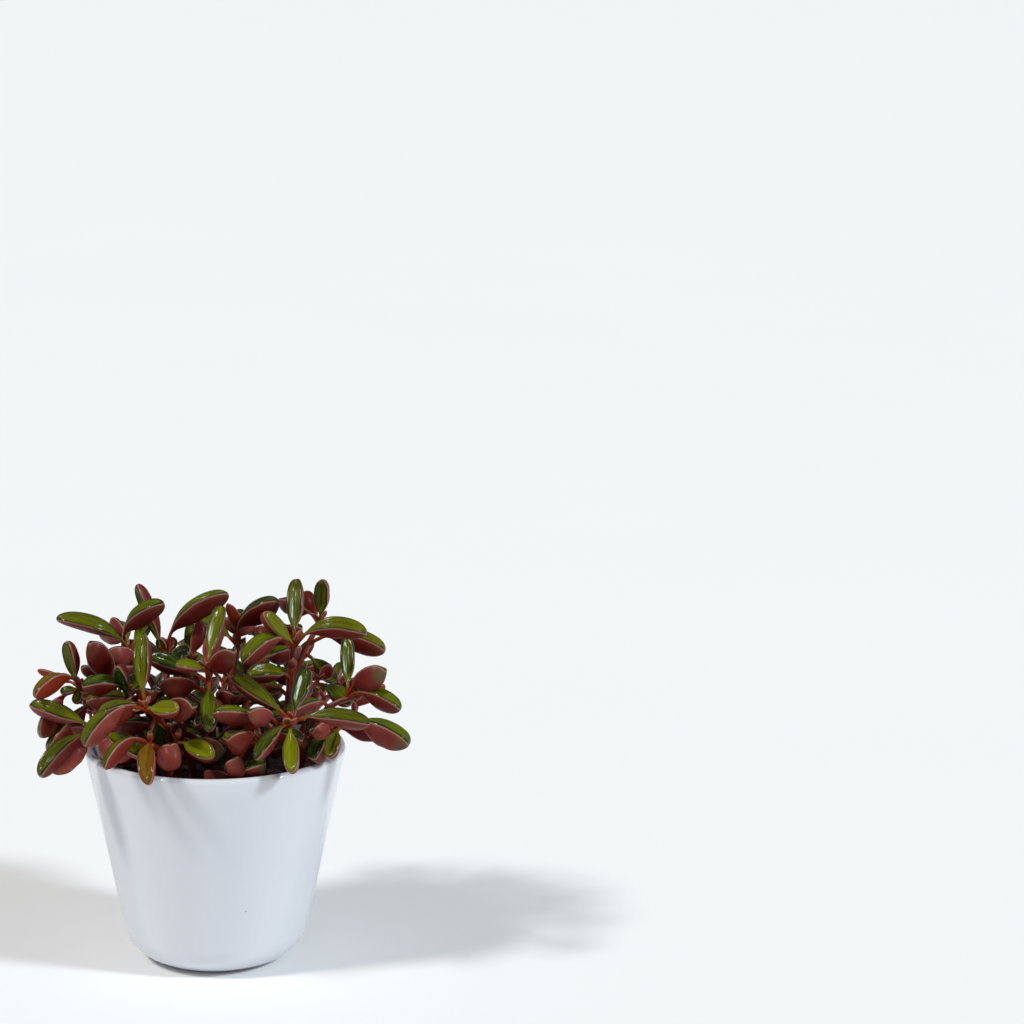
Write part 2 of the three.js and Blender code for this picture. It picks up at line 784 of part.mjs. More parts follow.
function leafSolid(leaf) {
  const short = leaf.lower || leaf.length <= SHORT_LENGTH;
  const stations = short ? SHORT_BLADE_STATIONS : BLADE_STATIONS;
  const rings = [
    petioleRing(leaf, 0),
    petioleRing(leaf, PETIOLE_SHARE),
    ...stations.map((station) => bladeRing(leaf, station)),
  ];
  const tip = leafPoint(leaf, 1).addScaledVector(leafAxes(leaf, 1).up, -TIP_DROP * keelDepth(leaf));
  return toSolid(loft(leafPoint(leaf, 0), rings, tip));
}

// Where leaves may grow: beads along each stem and leaf stand for its bulk.

function stemBeads(stem) {
  const beads = [];
  for (let i = 0; i <= STEM_BEADS; i += 1) {
    const share = i / STEM_BEADS;
    beads.push({
      centre: stemPoint(stem, share),
      radius: STEM_RADIUS_LOW + (STEM_RADIUS_HIGH - STEM_RADIUS_LOW) * share,
    });
  }
  return beads;
}

function leafBeads(leaf) {
  const depth = keelDepth(leaf);
  return LEAF_BEADS.map((share) => {
    const station = (share - PETIOLE_SHARE) / (1 - PETIOLE_SHARE);
    const half = Math.max(leaf.width / 2 * bladeHalf(station), PETIOLE_RADIUS);
    const deep = depth * bladeDeep(station);
    return {
      centre: leafPoint(leaf, share).addScaledVector(leaf.facing, -deep / 2),
      radius: Math.max(half, deep / 2) * BEAD_FULLNESS,
    };
  });
}

function tooClose(beads, others, clearance) {
  return beads.some((bead) => others.some((other) =>
    bead.centre.distanceTo(other.centre) < bead.radius + other.radius + clearance));
}

// Whether a bead would touch the planter's wall or the soil.
function meetsPlanter({ centre, radius }) {
  const wall = WALL_THICKNESS / 2;
  const out = Math.hypot(centre.x, centre.y);
  const top = PLANTER_HEIGHT - wall;
  const across = out - (outerRadius(Math.min(centre.z, top)) - wall);
  const above = Math.max(0, centre.z - top);
  const inWall = Math.hypot(across, above) < radius + wall + LEAF_CLEARANCE;
  const inSoil = across < 0 && centre.z - radius < SOIL_TOP + SOIL_CROWN + LEAF_CLEARANCE;
  return inWall || inSoil;
}

// Lower and hidden leaves

// A repeatable random number from 0 to 1.
function makeRandom(seed) {
  let state = seed;
  return () => {
    state = state * RANDOM_MULTIPLIER % RANDOM_MODULUS;
    return (state - 1) / (RANDOM_MODULUS - 1);
  };
}

function spread(random, middle, range) {
  return middle + (2 * random() - 1) * range;
}

// Leaves grow in opposite pairs, each pair turned a quarter from the last. A leaf that would touch
// another stem's leaves or the planter is tried again, a little shorter and turned; one that finds
// no room is left out.
function growLeaves(stems) {
  const random = makeRandom(LEAF_SEED);
  const grown = new Map(stems.map((stem) => [stem, stem.rows.map((row) => makeLeaf(stem, row))]));
  const beadsOf = new Map(stems.map((stem) => [
    stem,
    { stem: stemBeads(stem), leaves: grown.get(stem).flatMap(leafBeads) },
  ]));
  for (const stem of stems) {
    const others = stems.filter((other) => other !== stem)
      .flatMap((other) => [...beadsOf.get(other).stem, ...beadsOf.get(other).leaves]);
    let quarter = 90 * random();
    for (const [down, rise, length] of NODES) {
      quarter += 90;
      if (down < stem.from || stemPointBelow(stem, down).z < SOIL_TOP + LOWEST_LEAF) {
        continue;
      }
      for (const opposite of [0, 180]) {
        for (let attempt = 0; attempt < LEAF_TRIES; attempt += 1) {
          const size = length * (1 - SHORTER_EACH_TRY * attempt);
          const leaf = makeLeaf(stem, [
            down,
            spread(random, quarter + opposite, COMPASS_SPREAD + COMPASS_SPREAD_EACH_TRY * attempt),
            spread(random, rise, RISE_SPREAD + RISE_SPREAD_EACH_TRY * attempt),
            spread(random, size, LENGTH_SPREAD),
            spread(random, NARROWEST + WIDTH_OVER_LENGTH * size, WIDTH_SPREAD),
            spread(random, 0, TURN_SPREAD),
            spread(random, ARCH, ARCH_SPREAD),
          ]);
          leaf.lower = true;
          const beads = leafBeads(leaf);
          const own = beadsOf.get(stem).leaves;
          const free = !tooClose(beads, others, LEAF_CLEARANCE)
            && !tooClose(beads.slice(FIRST_FREE_BEAD), own, -LEAF_CROWDING)
            && !beads.some(meetsPlanter);
          if (free) {
            grown.get(stem).push(leaf);
            own.push(...beads);
            break;
          }
        }
      }
    }
  }
  return grown;
}

function makeLeafyStem(stem, leaves, material) {
  let solid = stemSolid(stem);
  for (const leaf of leaves) {
    solid = solid.add(leafSolid(leaf));
  }
  return toMesh(stem.name, solid, material);
}

// Materials and assembly

const glaze = new THREE.MeshStandardMaterial({
  color: COLOURS.planter,
  roughness: 0.15,
  metalness: 0,
});
const earth = new THREE.MeshStandardMaterial({ color: COLOURS.soil, roughness: 0.95, metalness: 0 });
const leafTissue = new THREE.MeshStandardMaterial({
  color: COLOURS.plant,
  roughness: 0.35,
  metalness: 0,
});

const plant = new THREE.Group();
for (const [stem, leaves] of growLeaves(STEMS)) {
  plant.add(makeLeafyStem(stem, leaves, leafTissue));
}

const pottedPlant = new THREE.Group();
pottedPlant.add(makePlanter(glaze), makeSoil(STEMS, earth), plant);

export default pottedPlant;
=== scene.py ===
"""Potted peperomia graveolens: the looks of its planter, soil and leafy stems, and a studio."""

import math
import random

import bpy
import numpy as np
from bpy.props import FloatProperty, FloatVectorProperty, IntProperty, PointerProperty
from mathutils import Matrix, Vector, noise


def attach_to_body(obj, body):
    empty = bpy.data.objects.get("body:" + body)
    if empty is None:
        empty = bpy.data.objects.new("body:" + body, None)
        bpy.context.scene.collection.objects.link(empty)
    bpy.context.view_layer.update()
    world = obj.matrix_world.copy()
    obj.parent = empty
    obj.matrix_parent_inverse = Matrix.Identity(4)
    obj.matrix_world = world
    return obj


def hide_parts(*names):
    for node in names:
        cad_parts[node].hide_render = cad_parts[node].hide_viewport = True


bl_info = {
    "name": "Potted Peperomia Graveolens",
    "version": (1, 0, 0),
    "blender": (4, 5, 0),
    "location": "3D Viewport > Sidebar > Potted Plant",
    "description": "Builds a potted peperomia graveolens in a glazed planter, and a studio for it",
    "category": "Add Mesh",
}

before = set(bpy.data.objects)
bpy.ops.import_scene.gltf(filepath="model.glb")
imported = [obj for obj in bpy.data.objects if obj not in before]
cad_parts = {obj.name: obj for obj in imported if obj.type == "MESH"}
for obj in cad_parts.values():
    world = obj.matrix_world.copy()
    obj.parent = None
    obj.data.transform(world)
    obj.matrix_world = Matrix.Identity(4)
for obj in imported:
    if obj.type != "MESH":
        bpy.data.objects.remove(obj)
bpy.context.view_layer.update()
MM = 0.001

# The plant's rules are in millimetres and degrees, as in the CAD source.

SOIL_TOP = 74
SOIL_CROWN = 1                    # how much higher the middle of the soil is
SOIL_CROWN_REACH = 44             # from the middle to where the crown ends
HOLE_DEPTH = 10.5
FIT_GAP = 0.3

STEM_RADIUS_LOW = 1.9
STEM_RADIUS_HIGH = 1.2
STEM_FOOT = SOIL_TOP - HOLE_DEPTH + FIT_GAP
STEM_COUNTS = 40                  # steps in which a length along the stem is counted

PETIOLE_SHARE = 0.19              # of the leaf's length
PETIOLE_RADIUS = 0.75
WIDEST_SHARE = 0.5
NARROWING_POWER = 3.2
DEEPEST_SHARE = 0.55
SHALLOWING_POWER = 2.7
TIP_SHALLOWNESS = 0.985
KEEL_BASE = 0.55
KEEL_GROWTH = 0.021
KEEL_LIMIT = 1.05

LEAF_SEED = 20
LOOK_SEED = 5
SHAPE_SEED = 100                  # of the first stem's fine shape; the next stems count on
LEAF_CLEARANCE = 0.6
LEAF_CROWDING = 0.5
LEAF_TRIES = 4
SHORTER_EACH_TRY = 0.03
LOWEST_LEAF = 5
COMPASS_SPREAD = 12
COMPASS_SPREAD_EACH_TRY = 5
RISE_SPREAD = 10
RISE_SPREAD_EACH_TRY = 2
LENGTH_SPREAD = 1.5
NARROWEST = 0.9
WIDTH_OVER_LENGTH = 0.2
WIDTH_SPREAD = 0.5
TURN_SPREAD = 15
ARCH = 0.14
ARCH_SPREAD = 0.06

STEM_BEADS = 24
LEAF_BEADS = (0.18, 0.34, 0.5, 0.66, 0.82, 0.95)
FIRST_FREE_BEAD = 2
BEAD_FULLNESS = 1.1

RANDOM_MULTIPLIER = 16807
RANDOM_MODULUS = 2147483647

# Where pairs of leaves grow on a stem: millimetres below the head, rise, length.
NODES = (
    (0, 72, 9),
    (2, 52, 19),
    (6, 32, 26),
    (13, 16, 27),
    (21, 10, 24),
    (30, 18, 20),
    (37, 34, 15),
)

# How a leaf looks, each from 0 to 1: how yellow its green face is, how pink its underside
# (painted light: how far it turns from its colour in shade to its colour in light), how grey-green
# the underside's tip, and how orange the leaf.
LOOKS = {
    "green": (0.42, 0.26, 0.20, 0.12),
    "dark": (0.12, 0.06, 0.20, 0.05),
    "yellow": (0.90, 0.60, 0.00, 0.20),
    "frosted": (0.30, 0.45, 1.00, 0.05),
    "pink": (0.35, 0.95, 0.30, 0.10),
    "orange": (0.55, 0.45, 0.00, 0.90),
    "young": (0.45, 0.60, 0.80, 0.15),
}


def leafy_stem(name, head, root, grown_from, *leaves, lean=0.35, lift=0.85):
    """One stem. It has a head at x, y, z, a root at x, y in the soil, and a bend: how far it leans
    before rising (lean) and how high the bend stands (lift). A leaf is millimetres below the head,
    compass direction, rise, length, width, turn of the upper face, arch over length, and look.
    More leaves grow by rule from grown_from millimetres below the head."""
    return {
        "name": name, "head": head, "root": root, "lean": lean, "lift": lift,
        "grown_from": grown_from, "leaves": leaves,
    }


STEMS = (
    leafy_stem(
        "left_tall", (-34, 5, 119), (-15, 2), 15,
        (2, 195, 31, 33.5, 6, -45, 0.24, "green"),
        (1, 117, 11, 26, 5.8, 10, 0.14, "green"),
        (0, 106, 20, 23, 5.5, 35, 0.2, "green"),
        (0, 321, 51, 29.5, 6.8, 30, 0.22, "green"),
        (1, 65, 31, 25.5, 5.6, 15, 0.04, "green"),
        (9, 212, 30, 18.5, 7, 25, 0.15, "pink"),
        (10, 249, -12, 18, 6.2, -25, 0.1, "green"),
    ),
    leafy_stem(
        "mid_left_tall", (-19, 15, 115), (-9, 7), 11,
        (1, 348, 49, 36.5, 7.2, 10, 0.21, "green"),
        (2, 185, 67, 32.5, 4.8, -140, 0.03, "green"),
        (0, 226, 65, 8.5, 4.2, -155, 0.05, "young"),
        (0, 59, 45, 8.5, 3.8, -85, 0.05, "young"),
        (3, 302, 26, 15.5, 6.6, 40, 0.14, "dark"),
        (6, 154, 22, 23.5, 6.4, 30, 0.12, "pink"),
    ),
    leafy_stem(
        "front_left", (-26, -34, 107), (-14, -13), 15,
        (1, 96, 61, 29.5, 6.2, -25, 0.1, "green"),
        (0, 322, 11, 16, 6.4, 45, 0.08, "yellow"),
        (0, 221, -14, 30.5, 7.2, 10, 0.2, "pink"),
        (5, 212, 9, 22.5, 7.8, 0, 0.14, "green"),
        (0, 206, 19, 7, 3.6, -55, 0.05, "yellow"),
        (10, 310, 23, 23.5, 7.6, -30, 0.12, "dark"),
        (6, 59, 3, 17.5, 5.6, -5, 0.14, "green"),
        (7, 85, -51, 20, 6.8, 150, 0.08, "dark"),
    ),
    leafy_stem(
        "far_left", (-51, -8, 108), (-24, -4), 20,
        (0, 217, 73, 20.5, 5.2, -170, 0.05, "green"),
        (1, 151, 17, 20.5, 2.8, 20, 0.05, "orange"),
        (2, 220, 5, 24.5, 6, 5, 0.28, "orange"),
        (0, 261, -24, 8, 4, 5, 0.1, "young"),
        (0, 220, 5, 9, 3.6, -30, 0.1, "young"),
        (1, 216, -38, 25, 6.6, 40, 0.2, "green"),
        (10, 210, -35, 31.5, 6.4, 15, 0.08, "pink"),
        (15, 233, 18, 13.5, 4.2, -25, 0.06, "orange"),
        (12, 225, 69, 25.5, 7.8, 10, 0.14, "dark"),
        lean=0.25, lift=1,
    ),
    leafy_stem(
        "left_low", (-43, -26, 96), (-22, -14), 9,
        (0, 163, 20, 29.5, 6.2, -40, 0.15, "green"),
        (0, 212, -25, 29, 6.6, -5, 0.18, "green"),
        (4, 207, -26, 27, 6.6, 40, 0.12, "pink"),
        (0, 310, -7, 27, 6, 35, 0.13, "green"),
        (3, 158, 2, 14.5, 5, 5, 0.06, "pink"),
        lean=0.25, lift=1,
    ),
    leafy_stem(
        "left_inner", (-33, -18, 108), (-17, -7), 13,
        (0, 216, 21, 21.5, 6.8, -25, 0.22, "dark"),
        (1, 253, 48, 19.5, 5.2, -180, 0.06, "dark"),
        (8, 244, 17, 16.5, 6.6, 30, 0.1, "dark"),
        (4, 296, 26, 16, 6.8, -10, 0.1, "dark"),
    ),
    leafy_stem(
        "front_mid", (-3, -25, 119), (-1, -9), 23,
        (0, 71, 51, 28, 6, 5, 0.06, "green"),
        (0, 78, 34, 22, 6, -135, 0.1, "pink"),
        (0, 220, 20, 15.5, 4.8, -45, 0.1, "yellow"),
        (8, 157, 18, 27, 6.4, -30, 0.12, "dark"),
        (7, 270, -38, 23, 6.6, 10, 0.08, "green"),
        (8, 302, 44, 24, 6.8, 0, 0.12, "dark"),
        (14, 201, 19, 21.5, 7, 40, 0.12, "dark"),
        (16, 279, -3, 14, 6, 115, 0.12, "pink"),
        (18, 308, 24, 16.5, 7, -20, 0.12, "dark"),
    ),
    leafy_stem(
        "mid_inner", (-9, 8, 113), (-4, 4), 11,
        (0, 92, 50, 18.5, 5.2, -25, 0.05, "green"),
        (0, 71, 61, 18, 4.8, -105, 0.05, "dark"),
        (6, 256, 36, 21, 7, -20, 0.12, "pink"),
    ),
    leafy_stem(
        "mid_tall", (9, 19, 117), (4, 9), 23,
        (0, 240, 68, 21, 3.8, -5, 0.14, "orange"),
        (0, 324, 50, 29, 7.6, 25, 0.22, "dark"),
        (0, 132, 20, 26, 6, -20, 0.1, "green"),
        (4, 248, 20, 15.5, 6.6, 0, 0.12, "dark"),
        (18, 287, 12, 20, 7, -35, 0.12, "dark"),
    ),
    leafy_stem(
        "right_tall", (30, -5, 123), (27, -1), 19,
        (0, 86, 59, 28, 6.4, -10, 0.06, "green"),
        (0, 220, 47, 21.5, 5.8, -80, 0.06, "yellow"),
        (3, 115, 20, 20, 6, 60, 0.12, "dark"),
        (1, 221, 0, 27, 7, -10, 0.28, "green"),
        (2, 149, 24, 18, 6.2, 55, 0.1, "dark"),
        (1, 340, 17, 31, 7, 25, 0.24, "green"),
        (0, 1, 69, 7, 3.2, -40, 0.05, "pink"),
        (14, 218, 16, 22, 6.6, -35, 0.18, "green"),
        (10, 272, 45, 8.5, 3.6, 50, 0.05, "pink"),
    ),
    leafy_stem(
        "right_back", (41, 20, 126), (25, 11), 18,
        (0, 273, 75, 19, 6, 150, 0.04, "green"),
        (1, 130, 15, 25, 6.2, 10, 0.14, "dark"),
        (0, 114, 28, 18, 5.6, -175, 0.05, "dark"),
        (10, 343, 1, 32, 7.4, 10, 0.18, "green"),
        (13, 359, -45, 17.5, 6.2, 55, 0.12, "green"),
        lean=0.2, lift=0.7,
    ),
    leafy_stem(
        "far_right", (55, -9, 104), (32, -6), 11,
        (5, 88, 57, 25.5, 5.6, -10, 0.05, "green"),
        (6, 325, 40, 23.5, 8, -25, 0.12, "frosted"),
        (3, 46, 9, 15.5, 5.6, 90, 0.05, "yellow"),
        (5, 321, 1, 25.5, 6.6, 10, 0.2, "green"),
        (0, 297, 34, 5.5, 2.6, 60, 0.2, "young"),
        lean=0.2, lift=0.97,
    ),
    leafy_stem(
        "right_inner", (39, 4, 106), (18, 2), 8,
        (0, 322, -18, 17.5, 6.6, 30, 0.12, "green"),
        (3, 256, 11, 15, 6, 35, 0.12, "dark"),
        (0, 60, 19, 12, 5, -80, 0.1, "dark"),
        lean=0.3, lift=0.8,
    ),
    leafy_stem(
        "front_right", (28, -37, 102), (13, -17), 13,
        (0, 150, 31, 30, 6.2, -25, 0.1, "green"),
        (0, 63, 52, 22.5, 6.4, 5, 0.06, "dark"),
        (0, 340, 5, 31, 6, 35, 0.14, "green"),
        (1, 270, -37, 22.5, 6.2, 10, 0.05, "yellow"),
        (0, 223, -28, 21.5, 5.6, -15, 0.14, "dark"),
        (0, 240, 27, 6, 3, -155, 0.05, "orange"),
        (0, 282, 31, 5, 3.2, 15, 0.05, "orange"),
        (8, 223, 32, 18, 6.8, 15, 0.12, "pink"),
    ),
    leafy_stem(
        "right_low", (47, -25, 97), (26, -15), 24,
        (0, 246, -32, 16, 6.8, 0, 0.1, "green"),
        (1, 330, -4, 30.5, 8.2, -5, 0.16, "frosted"),
        (19, 265, 26, 15, 6, 50, 0.06, "dark"),
        (3, 236, 9, 16, 6, 40, 0.08, "pink"),
        (9, 259, -17, 17.5, 7.6, 20, 0.08, "dark"),
    ),
    leafy_stem(
        "rim_left", (-24, -40, 95), (-17, -27), 12,
        (0, 268, -19, 24.5, 6.4, 5, 0.22, "orange"),
        (7, 161, -2, 24, 8.4, 45, 0.12, "pink"),
        (1, 229, -5, 26.5, 5, 15, 0.24, "green"),
    ),
    leafy_stem(
        "rim_mid", (-14, -30, 93), (-8, -19), 11,
        (0, 313, -4, 19, 7.2, 35, 0.1, "yellow"),
        (6, 330, 7, 18, 9, -35, 0.12, "frosted"),
        (2, 94, 11, 15, 5.6, -125, 0.12, "dark"),
    ),
    leafy_stem(
        "rim_short", (-17, -35, 79), (-14, -31), 5,
        (0, 272, 74, 17.5, 8.6, 20, 0.08, "pink"),
        lean=0.4, lift=0.9,
    ),
    leafy_stem(
        "rim_right", (17, -29, 92), (8, -13), 6,
        (1, 227, 19, 19.5, 8.8, 10, 0.14, "green"),
        (0, 119, 27, 18.5, 6.8, 80, 0.12, "dark"),
    ),
    leafy_stem(
        "mid_back", (20, 28, 118), (9, 13), 5,
        (0, 200, 29, 20.5, 6.4, 25, 0.12, "pink"),
        (0, 57, 5, 15, 6, -45, 0.1, "dark"),
    ),
    leafy_stem(
        "rim_centre", (8, -35, 80), (5, -31), 6,
        (0, 331, 35, 14, 7.8, 15, 0.14, "frosted"),
        (0, 144, -2, 15, 6, 30, 0.08, "pink"),
        (1, 262, 57, 12, 7.6, 40, 0.06, "pink"),
        lean=0.4, lift=0.9,
    ),
    leafy_stem("back_left", (-42, 30, 97), (-23, 15), 0),
    leafy_stem("back_far_left", (-48, 13, 91), (-28, 6), 0, lean=0.3, lift=0.95),
    leafy_stem("back_mid_left", (-21, 46, 100), (-12, 24), 0),
    leafy_stem("back_mid", (4, 52, 97), (2, 28), 0),
    leafy_stem("back_mid_right", (30, 46, 99), (16, 25), 0),
    leafy_stem("back_right", (48, 29, 96), (31, 20), 0),
    leafy_stem("back_far_right", (54, 12, 89), (35, 5), 0, lean=0.3, lift=0.95),
)


# Settings

def colour(name, description, default):
    return FloatVectorProperty(
        name=name, description=description, subtype="COLOR", size=3, min=0, max=1, default=default
    )


def length(name, description, default):
    return FloatProperty(name=name, description=description, default=default, min=0, unit="LENGTH")


def share(name, description, default):
    return FloatProperty(
        name=name, description=description, default=default, min=0, max=1, subtype="FACTOR"
    )


class PlanterSettings(bpy.types.PropertyGroup):
    """Sizes and colours of the glazed planter."""

    rim_diameter: length("Rim diameter", "Outside diameter at the rim", 0.1)
    height: length("Height", "Height of the rim above the table", 0.084)
    base_corner_radius: length(
        "Base corner radius", "Where the wall would meet the table without its rounding", 0.033
    )
    base_rounding: length("Base rounding", "Radius of the rounding under the wall", 0.016)
    wall_thickness: length("Wall thickness", "Thickness of the wall", 0.0036)
    floor_thickness: length("Floor thickness", "Thickness of the bottom", 0.005)
    foot_recess: length("Foot recess", "How far the middle of the base is hollowed", 0.0006)
    glaze: colour("Glaze", "Colour of the glaze", (0.694, 0.718, 0.776))
    glaze_shade: colour("Glaze shade", "Colour where the glaze is thinner", (0.665, 0.690, 0.715))
    clay: colour("Clay", "Colour of the unglazed foot", (0.61, 0.55, 0.47))
    speck: colour("Specks", "Colour of the few pinholes in the glaze", (0.12, 0.10, 0.09))
    glaze_roughness: share("Glaze roughness", "Roughness of the glaze", 0.09)


class SoilSettings(bpy.types.PropertyGroup):
    """Grain and colours of the potting soil."""

    lump_height: length("Lump height", "How far the surface's lumps rise and fall", 0.0011)
    crumbs: IntProperty(name="Crumbs", description="Loose crumbs on the soil", default=620, min=0)
    crumb_radius: length("Crumb radius", "Radius of a large crumb", 0.0015)
    fibres: IntProperty(name="Fibres", description="Peat fibres on the soil", default=90, min=0)
    dark: colour("Dark soil", "Colour of the damp soil", (0.0160, 0.0088, 0.0052))
    light: colour("Light soil", "Colour of the drier crumbs", (0.080, 0.044, 0.025))


class LeafSettings(bpy.types.PropertyGroup):
    """Form and colours of the leaves."""

    margin_width: length("Margin width", "Width of the pale line round the upper face", 0.00055)
    groove: share("Groove", "Depth of the upper face's groove, over half the width", 0.70)
    fullness: share("Fullness", "How far the two halves swell up, over half the width", 0.42)
    notch: share("Tip notch", "Depth of the notch in the tip, over the width", 0.02)
    twist: FloatProperty(
        name="Twist", description="Largest twist along a leaf", default=0.2, subtype="ANGLE"
    )
    deep_green: colour("Deep green", "Upper face, oldest leaves", (0.008, 0.027, 0.002))
    fresh_green: colour("Fresh green", "Upper face, youngest leaves", (0.180, 0.215, 0.001))
    margin: colour("Margin", "Pale line round the upper face", (0.400, 0.210, 0.165))
    wine: colour("Wine", "Underside in shade", (0.085, 0.0050, 0.0034))
    rose: colour("Rose", "Underside in light", (0.240, 0.048, 0.038))
    orange: colour("Orange", "Petioles and young leaves", (0.250, 0.030, 0.007))
    frost: colour("Frost", "Grey-green tips", (0.090, 0.085, 0.035))
    speck: colour("Specks", "Tiny pale specks on the underside", (0.60, 0.45, 0.40))


class StemSettings(bpy.types.PropertyGroup):
    """Form and colours of the stems."""

    slimness: share("Slimness", "Thickness between the joints, over the solid stem's", 0.84)
    swelling: share("Swelling", "How much thicker a stem is where leaves join it", 0.16)
    red: colour("Red", "Upper part of the stems", (0.190, 0.019, 0.005))
    brown: colour("Brown", "Lower part of the stems", (0.070, 0.010, 0.006))


class StageSettings(bpy.types.PropertyGroup):
    """Camera, light and floor of the studio."""

    distance: length("Camera distance", "From the camera to the planter", 1.1)
    aim_height: length("Aim height", "Height of the point that the camera circles", 0.045)
    elevation: FloatProperty(
        name="Elevation", description="Camera above the horizon", default=0.31311, subtype="ANGLE"
    )
    pan: FloatProperty(
        name="Pan", description="Camera turned away to the right", default=0.10634, subtype="ANGLE"
    )
    tilt: FloatProperty(
        name="Tilt", description="Camera turned up", default=0.11449, subtype="ANGLE"
    )
    roll: FloatProperty(
        name="Roll", description="Camera's roll", default=0.01840, subtype="ANGLE"
    )
    lens: FloatProperty(
        name="Lens", description="Focal length for a 36 mm sensor", default=98.68, unit="CAMERA"
    )
    floor: colour("Floor", "Colour of the floor", (0.95, 0.95, 0.95))
    floor_radius: length("Floor radius", "How far the floor reaches", 60)
    sky: FloatProperty(name="Sky", description="Strength of the light from all round", default=0.31)
    key: FloatProperty(name="Key light", description="Strength of the key light", default=1.75)
    fill: FloatProperty(name="Fill light", description="Strength of the fill light", default=1.6)
    softness: FloatProperty(
        name="Softness", description="How wide the lights look", default=0.16, subtype="ANGLE"
    )


# Node trees

class Graph:
    """Adds nodes to one node tree and links them."""

    def __init__(self, tree):
        self.tree = tree

    def add(self, kind, inputs=None, **settings):
        node = self.tree.nodes.new(kind)
        for name, value in settings.items():
            setattr(node, name, value)
        for name, value in (inputs or {}).items():
            self.plug(node.inputs[name], value)
        return node

    def plug(self, socket, value):
        if isinstance(value, bpy.types.NodeSocket):
            self.tree.links.new(value, socket)
        else:
            socket.default_value = value

    def math(self, operation, first, second=0.0, clamp=False):
        node = self.add("ShaderNodeMath", operation=operation, use_clamp=clamp)
        self.plug(node.inputs[0], first)
        self.plug(node.inputs[1], second)
        return node.outputs[0]

    def ramp(self, value, low, high, start=0.0, end=1.0):
        """start below low, end above high, and smooth between them."""
        node = self.add("ShaderNodeMapRange", interpolation_type="SMOOTHSTEP")
        for name, entry in (
            ("Value", value), ("From Min", low), ("From Max", high),
            ("To Min", start), ("To Max", end),
        ):
            self.plug(node.inputs[name], entry)
        return node.outputs["Result"]

    def blend(self, factor, first, second):
        node = self.add("ShaderNodeMix", data_type="RGBA", clamp_factor=True)
        self.plug(node.inputs[0], factor)
        self.plug(node.inputs[6], first)
        self.plug(node.inputs[7], second)
        return node.outputs[2]

    def noise(self, vector, scale, detail=3.0):
        node = self.add(
            "ShaderNodeTexNoise", {"Vector": vector, "Scale": scale, "Detail": detail}
        )
        return node.outputs["Fac"]

    def group(self, tree, **inputs):
        node = self.add("ShaderNodeGroup", node_tree=tree)
        for name, value in inputs.items():
            self.plug(node.inputs[name], value)
        return node.outputs


def solid(rgb):
    return (*rgb, 1.0)


def new_group(name, inputs, outputs):
    """An empty shader group with its sockets; returns its graph, input sockets and output node."""
    tree = bpy.data.node_groups.new(name, "ShaderNodeTree")
    for title, kind, default in inputs:
        socket = tree.interface.new_socket(name=title, in_out="INPUT", socket_type=kind)
        if default is not None:
            socket.default_value = default
    for title, kind in outputs:
        tree.interface.new_socket(name=title, in_out="OUTPUT", socket_type=kind)
    graph = Graph(tree)
    entry = graph.add("NodeGroupInput")
    leave = graph.add("NodeGroupOutput")
    return tree, graph, entry.outputs, leave.inputs


def shared_group(name, build):
    """The group of that name, built the first time it is asked for."""
    return bpy.data.node_groups.get(name) or build(name)


def build_grain(name):
    """Broad and fine unevenness of a surface, in the object's own space."""
    tree, graph, entry, leave = new_group(
        name,
        [
            ("Broad scale", "NodeSocketFloat", 60.0),
            ("Fine scale", "NodeSocketFloat", 1200.0),
        ],
        [("Broad", "NodeSocketFloat"), ("Fine", "NodeSocketFloat")],
    )
    space = graph.add("ShaderNodeTexCoord").outputs["Object"]
    graph.plug(leave["Broad"], graph.noise(space, entry["Broad scale"], 2.0))
    graph.plug(leave["Fine"], graph.noise(space, entry["Fine scale"], 4.0))
    return tree


def build_specks(name):
    """Sparse round specks: a mask that is 1 inside a speck."""
    tree, graph, entry, leave = new_group(
        name,
        [
            ("Scale", "NodeSocketFloat", 300.0),
            ("Size", "NodeSocketFloat", 0.2),
            ("Share", "NodeSocketFloat", 0.1),
        ],
        [("Mask", "NodeSocketFloat")],
    )
    space = graph.add("ShaderNodeTexCoord").outputs["Object"]
    cells = graph.add("ShaderNodeTexVoronoi", {"Vector": space, "Scale": entry["Scale"]})
    chance = graph.add("ShaderNodeSeparateColor", {"Color": cells.outputs["Color"]})
    chosen = graph.math("LESS_THAN", chance.outputs["Red"], entry["Share"])
    core = graph.math("MULTIPLY", entry["Size"], 0.5)
    spot = graph.ramp(cells.outputs["Distance"], entry["Size"], core)
    graph.plug(leave["Mask"], graph.math("MULTIPLY", chosen, spot))
    return tree


def build_relief(name):
    """A surface's normal from two heights, each with its own depth in metres."""
    tree, graph, entry, leave = new_group(
        name,
        [
            ("Broad height", "NodeSocketFloat", 0.5),
            ("Broad depth", "NodeSocketFloat", 0.0001),
            ("Fine height", "NodeSocketFloat", 0.5),
            ("Fine depth", "NodeSocketFloat", 0.00002),
        ],
        [("Normal", "NodeSocketVector")],
    )
    broad = graph.add(
        "ShaderNodeBump", {"Height": entry["Broad height"], "Distance": entry["Broad depth"]}
    )
    fine = graph.add(
        "ShaderNodeBump",
        {
            "Height": entry["Fine height"],
            "Distance": entry["Fine depth"],
            "Normal": broad.outputs["Normal"],
        },
    )
    graph.plug(leave["Normal"], fine.outputs["Normal"])
    return tree


def grain_group():
    return shared_group("Surface Grain", build_grain)


def specks_group():
    return shared_group("Sparse Specks", build_specks)


def relief_group():
    return shared_group("Surface Relief", build_relief)


def add_relief(graph, shader, broad, broad_depth, fine, fine_depth):
    """Broad and fine relief on a material, with depths in metres."""
    relief = graph.group(
        relief_group(),
        **{
            "Broad height": broad,
            "Broad depth": broad_depth,
            "Fine height": fine,
            "Fine depth": fine_depth,
        },
    )
    graph.plug(shader["Normal"], relief["Normal"])


